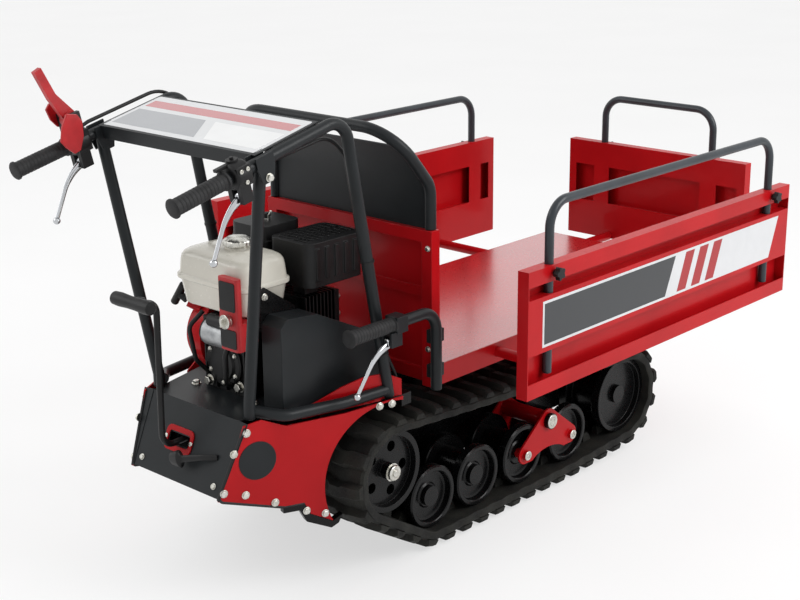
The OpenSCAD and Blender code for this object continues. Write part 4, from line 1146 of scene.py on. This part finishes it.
class CARRIER_OT_bed(bpy.types.Operator):
    """Makes the bed, the headboard, the guard hoop and the dump handle"""
    bl_idname = "carrier.bed"
    bl_label = "Tipping bed"

    def execute(self, context):
        shell("bed_floor", gloss_enamel(), edge=1)
        face = Shape()
        face.prism(round_rect(165, 1248, -265, 265, 3), top_view, 433.05, 433.4)
        face.finish("bed_floor_face", floor_enamel(), "bed", edge=0)
        shell("headboard", gloss_enamel(), edge=1.2)
        bolts = Shape()
        for y in (-250, 250):
            for z in (470, 700):
                bolts.hex_bolt((136, y, z), (-1, 0, 0), 10, 5, 7)
        bolts.finish("headboard_bolts", zinc_plate(), "bed", edge=0.3)
        hoop = Shape()
        hoop.sweep(bent(HOOP_ROUTE, [60, 90, 90, 60], 12), TUBE_R)
        panel_y = HOOP_Y - 9.5
        hoop.prism(HOOP_PANEL, side_view, -panel_y, panel_y)
        hoop.finish("guard_hoop_tube", powder_coat(), "bed", "guard_hoop", edge=0)
        handle = Shape()
        handle.sweep(bent(DUMP_ROUTE, [46], 12), TUBE_R)
        handle.block((117, -281, 413), (154, -261.2, 443))
        handle.block((117, -281, 493), (154, -261.2, 523))
        handle.block((-20, -303, 555), (14, -267, 591))
        for y in (-301, -276):
            handle.block((-36, y, 527), (-2, y + 7, 559))
        handle.finish("dump_handle_bar", powder_coat(), "bed", "dump_handle", edge=1.2, angle=50)
        grip = Shape()
        grip.lathe(grip_profile(), (-142, DUMP_Y, 573), (1, 0, 0), 40)
        grip.finish("dump_handle_grip", grip_rubber(), "bed", edge=0, angle=30)
        return {"FINISHED"}


BOARD_X = (162, 1251)
BOARD_FACE = 507
BOARD_Z = 403
BAND = (50, 1040, 108, 211)


def board_film(name, side, body):
    """Printed strip along the raised band: pale border, charcoal field, slanted stripes, pale end."""
    x0, x1, z0, z1 = BAND
    slant = 40

    def spot(u, v, level):
        return (BOARD_X[0] + u, -side * (BOARD_FACE + level), BOARD_Z + v)

    def bar(start, end, inset=0):
        low, high = z0 + inset, z1 - inset
        lean = slant * (high - low) / (z1 - z0)
        return [(start, low), (end, low), (end + lean, high), (start + lean, high)]

    film_strip(name + "_film", [(x0, z0), (x1 - slant, z0), (x1, z1), (x0, z1)], spot,
               printed_film("white", "#D6D7D9"), body)
    inner = 6
    field = [(x0 + inner, z0 + inner), (520, z0 + inner), (560, z1 - inner), (x0 + inner, z1 - inner)]
    film_strip(name + "_film_field", field, spot, printed_film("charcoal", "#333538"), body, 0.4)
    for i in range(3):
        film_strip(f"{name}_film_stripe_{i + 1}", bar(570 + 62 * i, 608 + 62 * i, inner), spot,
                   printed_film("red", "#A5161D"), body, 0.4)


def round_rail(node, body, along):
    """Bent rail on two legs, along X or Y, from the node's own box."""
    low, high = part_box(node)
    r = 10
    mid = (low + high) / 2
    x_mid, y_mid = (mid.x - AXLE_X) / MM, mid.y / MM
    half = ((high - low)[0 if along == "x" else 1] / MM) / 2 - r
    bottom, top = low.z / MM, high.z / MM - r
    ends = [(-half, bottom), (-half, top), (half, top), (half, bottom)]
    route = [((x_mid + u, y_mid, z) if along == "x" else (x_mid, y_mid + u, z)) for u, z in ends]
    rail = Shape()
    rail.sweep(bent(route, [56, 56], 12), r)
    rail.finish(node + "_tube", rail_coat(), body, node, edge=0)


class CARRIER_OT_boards(bpy.types.Operator):
    """Makes the side boards and the tailgate with their rails and knobs"""
    bl_idname = "carrier.boards"
    bl_label = "Drop boards"

    def execute(self, context):
        for name, side in SIDES:
            shell("side_board_" + name, gloss_enamel(), edge=1)
            board_film(name + "_board", side, name + "_board")
            round_rail("side_rail_" + name, name + "_rail", "x")
            shell("board_knobs_" + name, black_plastic(), edge=1.5)
        shell("tailgate", gloss_enamel(), edge=1)
        round_rail("tailgate_rail", "tail_rail", "y")
        shell("tailgate_knobs", black_plastic(), edge=1.5)
        return {"FINISHED"}


# Stage

CAMERA_AT = Vector((-2187.0, -2324.7, 1548.9))
CAMERA_YAW = math.radians(42.9)
CAMERA_PITCH = math.radians(-17.2)
CAMERA_ROLL = math.radians(-0.6)
CAMERA_LENS = 67.0
CAMERA_SENSOR = 36
FLOOR_HALF = 12000
LIGHT_TARGET = (400, 0, 450)
BACKDROP_WAY = (0.66, 0.62, 0.42)


def studio_camera():
    """Camera at the viewing angle of the picture."""
    level = math.cos(CAMERA_PITCH)
    look = Vector((level * math.cos(CAMERA_YAW), level * math.sin(CAMERA_YAW), math.sin(CAMERA_PITCH)))
    right = look.cross(Vector((0, 0, 1))).normalized()
    up = right.cross(look)
    turn = Matrix.Rotation(-CAMERA_ROLL, 3, look)
    data = bpy.data.cameras.new("studio_camera")
    data.lens = CAMERA_LENS
    data.sensor_width = CAMERA_SENSOR
    made = bpy.data.objects.new("studio_camera", data)
    rows = Matrix((turn @ right, turn @ up, -look)).transposed().to_4x4()
    made.matrix_world = Matrix.Translation(place(*CAMERA_AT)) @ rows
    bpy.context.scene.collection.objects.link(made)
    bpy.context.scene.camera = made


def soft_box(name, spot, size, power):
    """Large square lamp that faces the middle of the machine."""
    data = bpy.data.lights.new(name, "AREA")
    data.energy = power
    data.size = size
    made = bpy.data.objects.new(name, data)
    made.location = place(*spot)
    target = place(*LIGHT_TARGET)
    made.rotation_euler = (target - made.location).to_track_quat("-Z", "Y").to_euler()
    bpy.context.scene.collection.objects.link(made)


def to_the_eye(tree):
    """1 for rays that show the background, straight, mirrored or through glass; 0 for its light."""
    path = add(tree, "ShaderNodeLightPath").outputs
    seen = add(tree, "ShaderNodeMath", {0: path["Is Camera Ray"], 1: path["Is Transmission Ray"]},
               operation="MAXIMUM").outputs[0]
    return add(tree, "ShaderNodeMath", {0: seen, 1: path["Is Glossy Ray"]}, operation="MAXIMUM").outputs[0]


PAPER_WHITE = 0.62


def studio_paper():
    """Matt white background paper: even and pale, and it keeps a soft shadow under the machine."""
    made = surface("matt_studio_paper", "", hex_rgb("#F2F2F2"), hex_rgb("#F6F6F6"),
                   800, 6, 0.01, (0.85, 0.95), IOR=1.4)
    tree = made.node_tree
    share = add(tree, "ShaderNodeMath", {0: to_the_eye(tree), 1: PAPER_WHITE}, operation="MULTIPLY")
    glow = add(tree, "ShaderNodeEmission", {"Color": (1, 1, 1, 1), "Strength": 1.0})
    both = add(tree, "ShaderNodeMixShader", {0: share.outputs[0], 1: tree.nodes["Principled BSDF"].outputs[0],
                                             2: glow.outputs[0]})
    tree.links.new(both.outputs[0], tree.nodes["Material Output"].inputs["Surface"])
    return made


class CARRIER_OT_stage(bpy.types.Operator):
    """Makes the floor, the soft light and the camera"""
    bl_idname = "carrier.stage"
    bl_label = "Studio stage"

    def execute(self, context):
        scene = context.scene
        scene.view_settings.view_transform = "Standard"
        world = bpy.data.worlds.new("studio_white")
        scene.world = world
        world.use_nodes = True
        tree = world.node_tree
        tree.nodes.clear()
        way = add(tree, "ShaderNodeTexCoord").outputs["Generated"]
        behind = add(tree, "ShaderNodeVectorMath", {0: way, 1: BACKDROP_WAY}, operation="DOT_PRODUCT")
        glow = add(tree, "ShaderNodeMapRange",
                   {"Value": behind.outputs["Value"], "From Min": -0.5, "From Max": 0.9,
                    "To Min": sizes().room, "To Max": sizes().backdrop})
        dim = add(tree, "ShaderNodeBackground", {"Color": (1, 1, 1, 1), "Strength": glow.outputs["Result"]})
        white = add(tree, "ShaderNodeBackground", {"Color": (1, 1, 1, 1), "Strength": 1.0})
        both = add(tree, "ShaderNodeMixShader", {0: to_the_eye(tree), 1: dim.outputs[0], 2: white.outputs[0]})
        add(tree, "ShaderNodeOutputWorld", {"Surface": both.outputs[0]})
        soft_box("key_soft_box", (1700, -3400, 2900), 2.4, sizes().key_power)
        soft_box("fill_soft_box", (-2600, 2200, 2800), 2.6, sizes().fill_power)
        floor = bpy.data.meshes.new("pale_floor")
        corners = [place(x, y, -0.5) for x, y in ((-FLOOR_HALF, -FLOOR_HALF), (FLOOR_HALF, -FLOOR_HALF),
                                                 (FLOOR_HALF, FLOOR_HALF), (-FLOOR_HALF, FLOOR_HALF))]
        floor.from_pydata(corners, [], [(0, 1, 2, 3)])
        floor.materials.append(studio_paper())
        ground = bpy.data.objects.new("pale_floor", floor)
        scene.collection.objects.link(ground)
        studio_camera()
        return {"FINISHED"}


class CARRIER_PT_panel(bpy.types.Panel):
    """Lists the carrier's pieces, sizes and colours"""
    bl_label = "Carrier"
    bl_idname = "CARRIER_PT_panel"
    bl_space_type = "VIEW_3D"
    bl_region_type = "UI"
    bl_category = "Carrier"

    def draw(self, context):
        for group in (context.scene.carrier_sizes, context.scene.carrier_colours):
            for name in group.__annotations__:
                self.layout.prop(group, name)
        for piece in PIECES:
            self.layout.operator(piece.bl_idname)


PIECES = (CARRIER_OT_stage, CARRIER_OT_tracks, CARRIER_OT_running_gear, CARRIER_OT_chassis,
          CARRIER_OT_handlebars, CARRIER_OT_levers, CARRIER_OT_console, CARRIER_OT_engine,
          CARRIER_OT_belt_drive, CARRIER_OT_cables, CARRIER_OT_bed, CARRIER_OT_boards)
CLASSES = (CarrierColours, CarrierSizes) + PIECES + (CARRIER_PT_panel,)


def register():
    """Makes the classes and the scene's settings known to Blender."""
    for cls in CLASSES:
        bpy.utils.register_class(cls)
    bpy.types.Scene.carrier_colours = bpy.props.PointerProperty(type=CarrierColours)
    bpy.types.Scene.carrier_sizes = bpy.props.PointerProperty(type=CarrierSizes)


def unregister():
    """Takes them out again."""
    del bpy.types.Scene.carrier_sizes
    del bpy.types.Scene.carrier_colours
    for cls in reversed(CLASSES):
        bpy.utils.unregister_class(cls)


def main():
    """Builds every piece in order."""
    register()
    for piece in PIECES:
        group, name = piece.bl_idname.split(".")
        getattr(getattr(bpy.ops, group), name)()


if __name__ == "__main__":
    main()
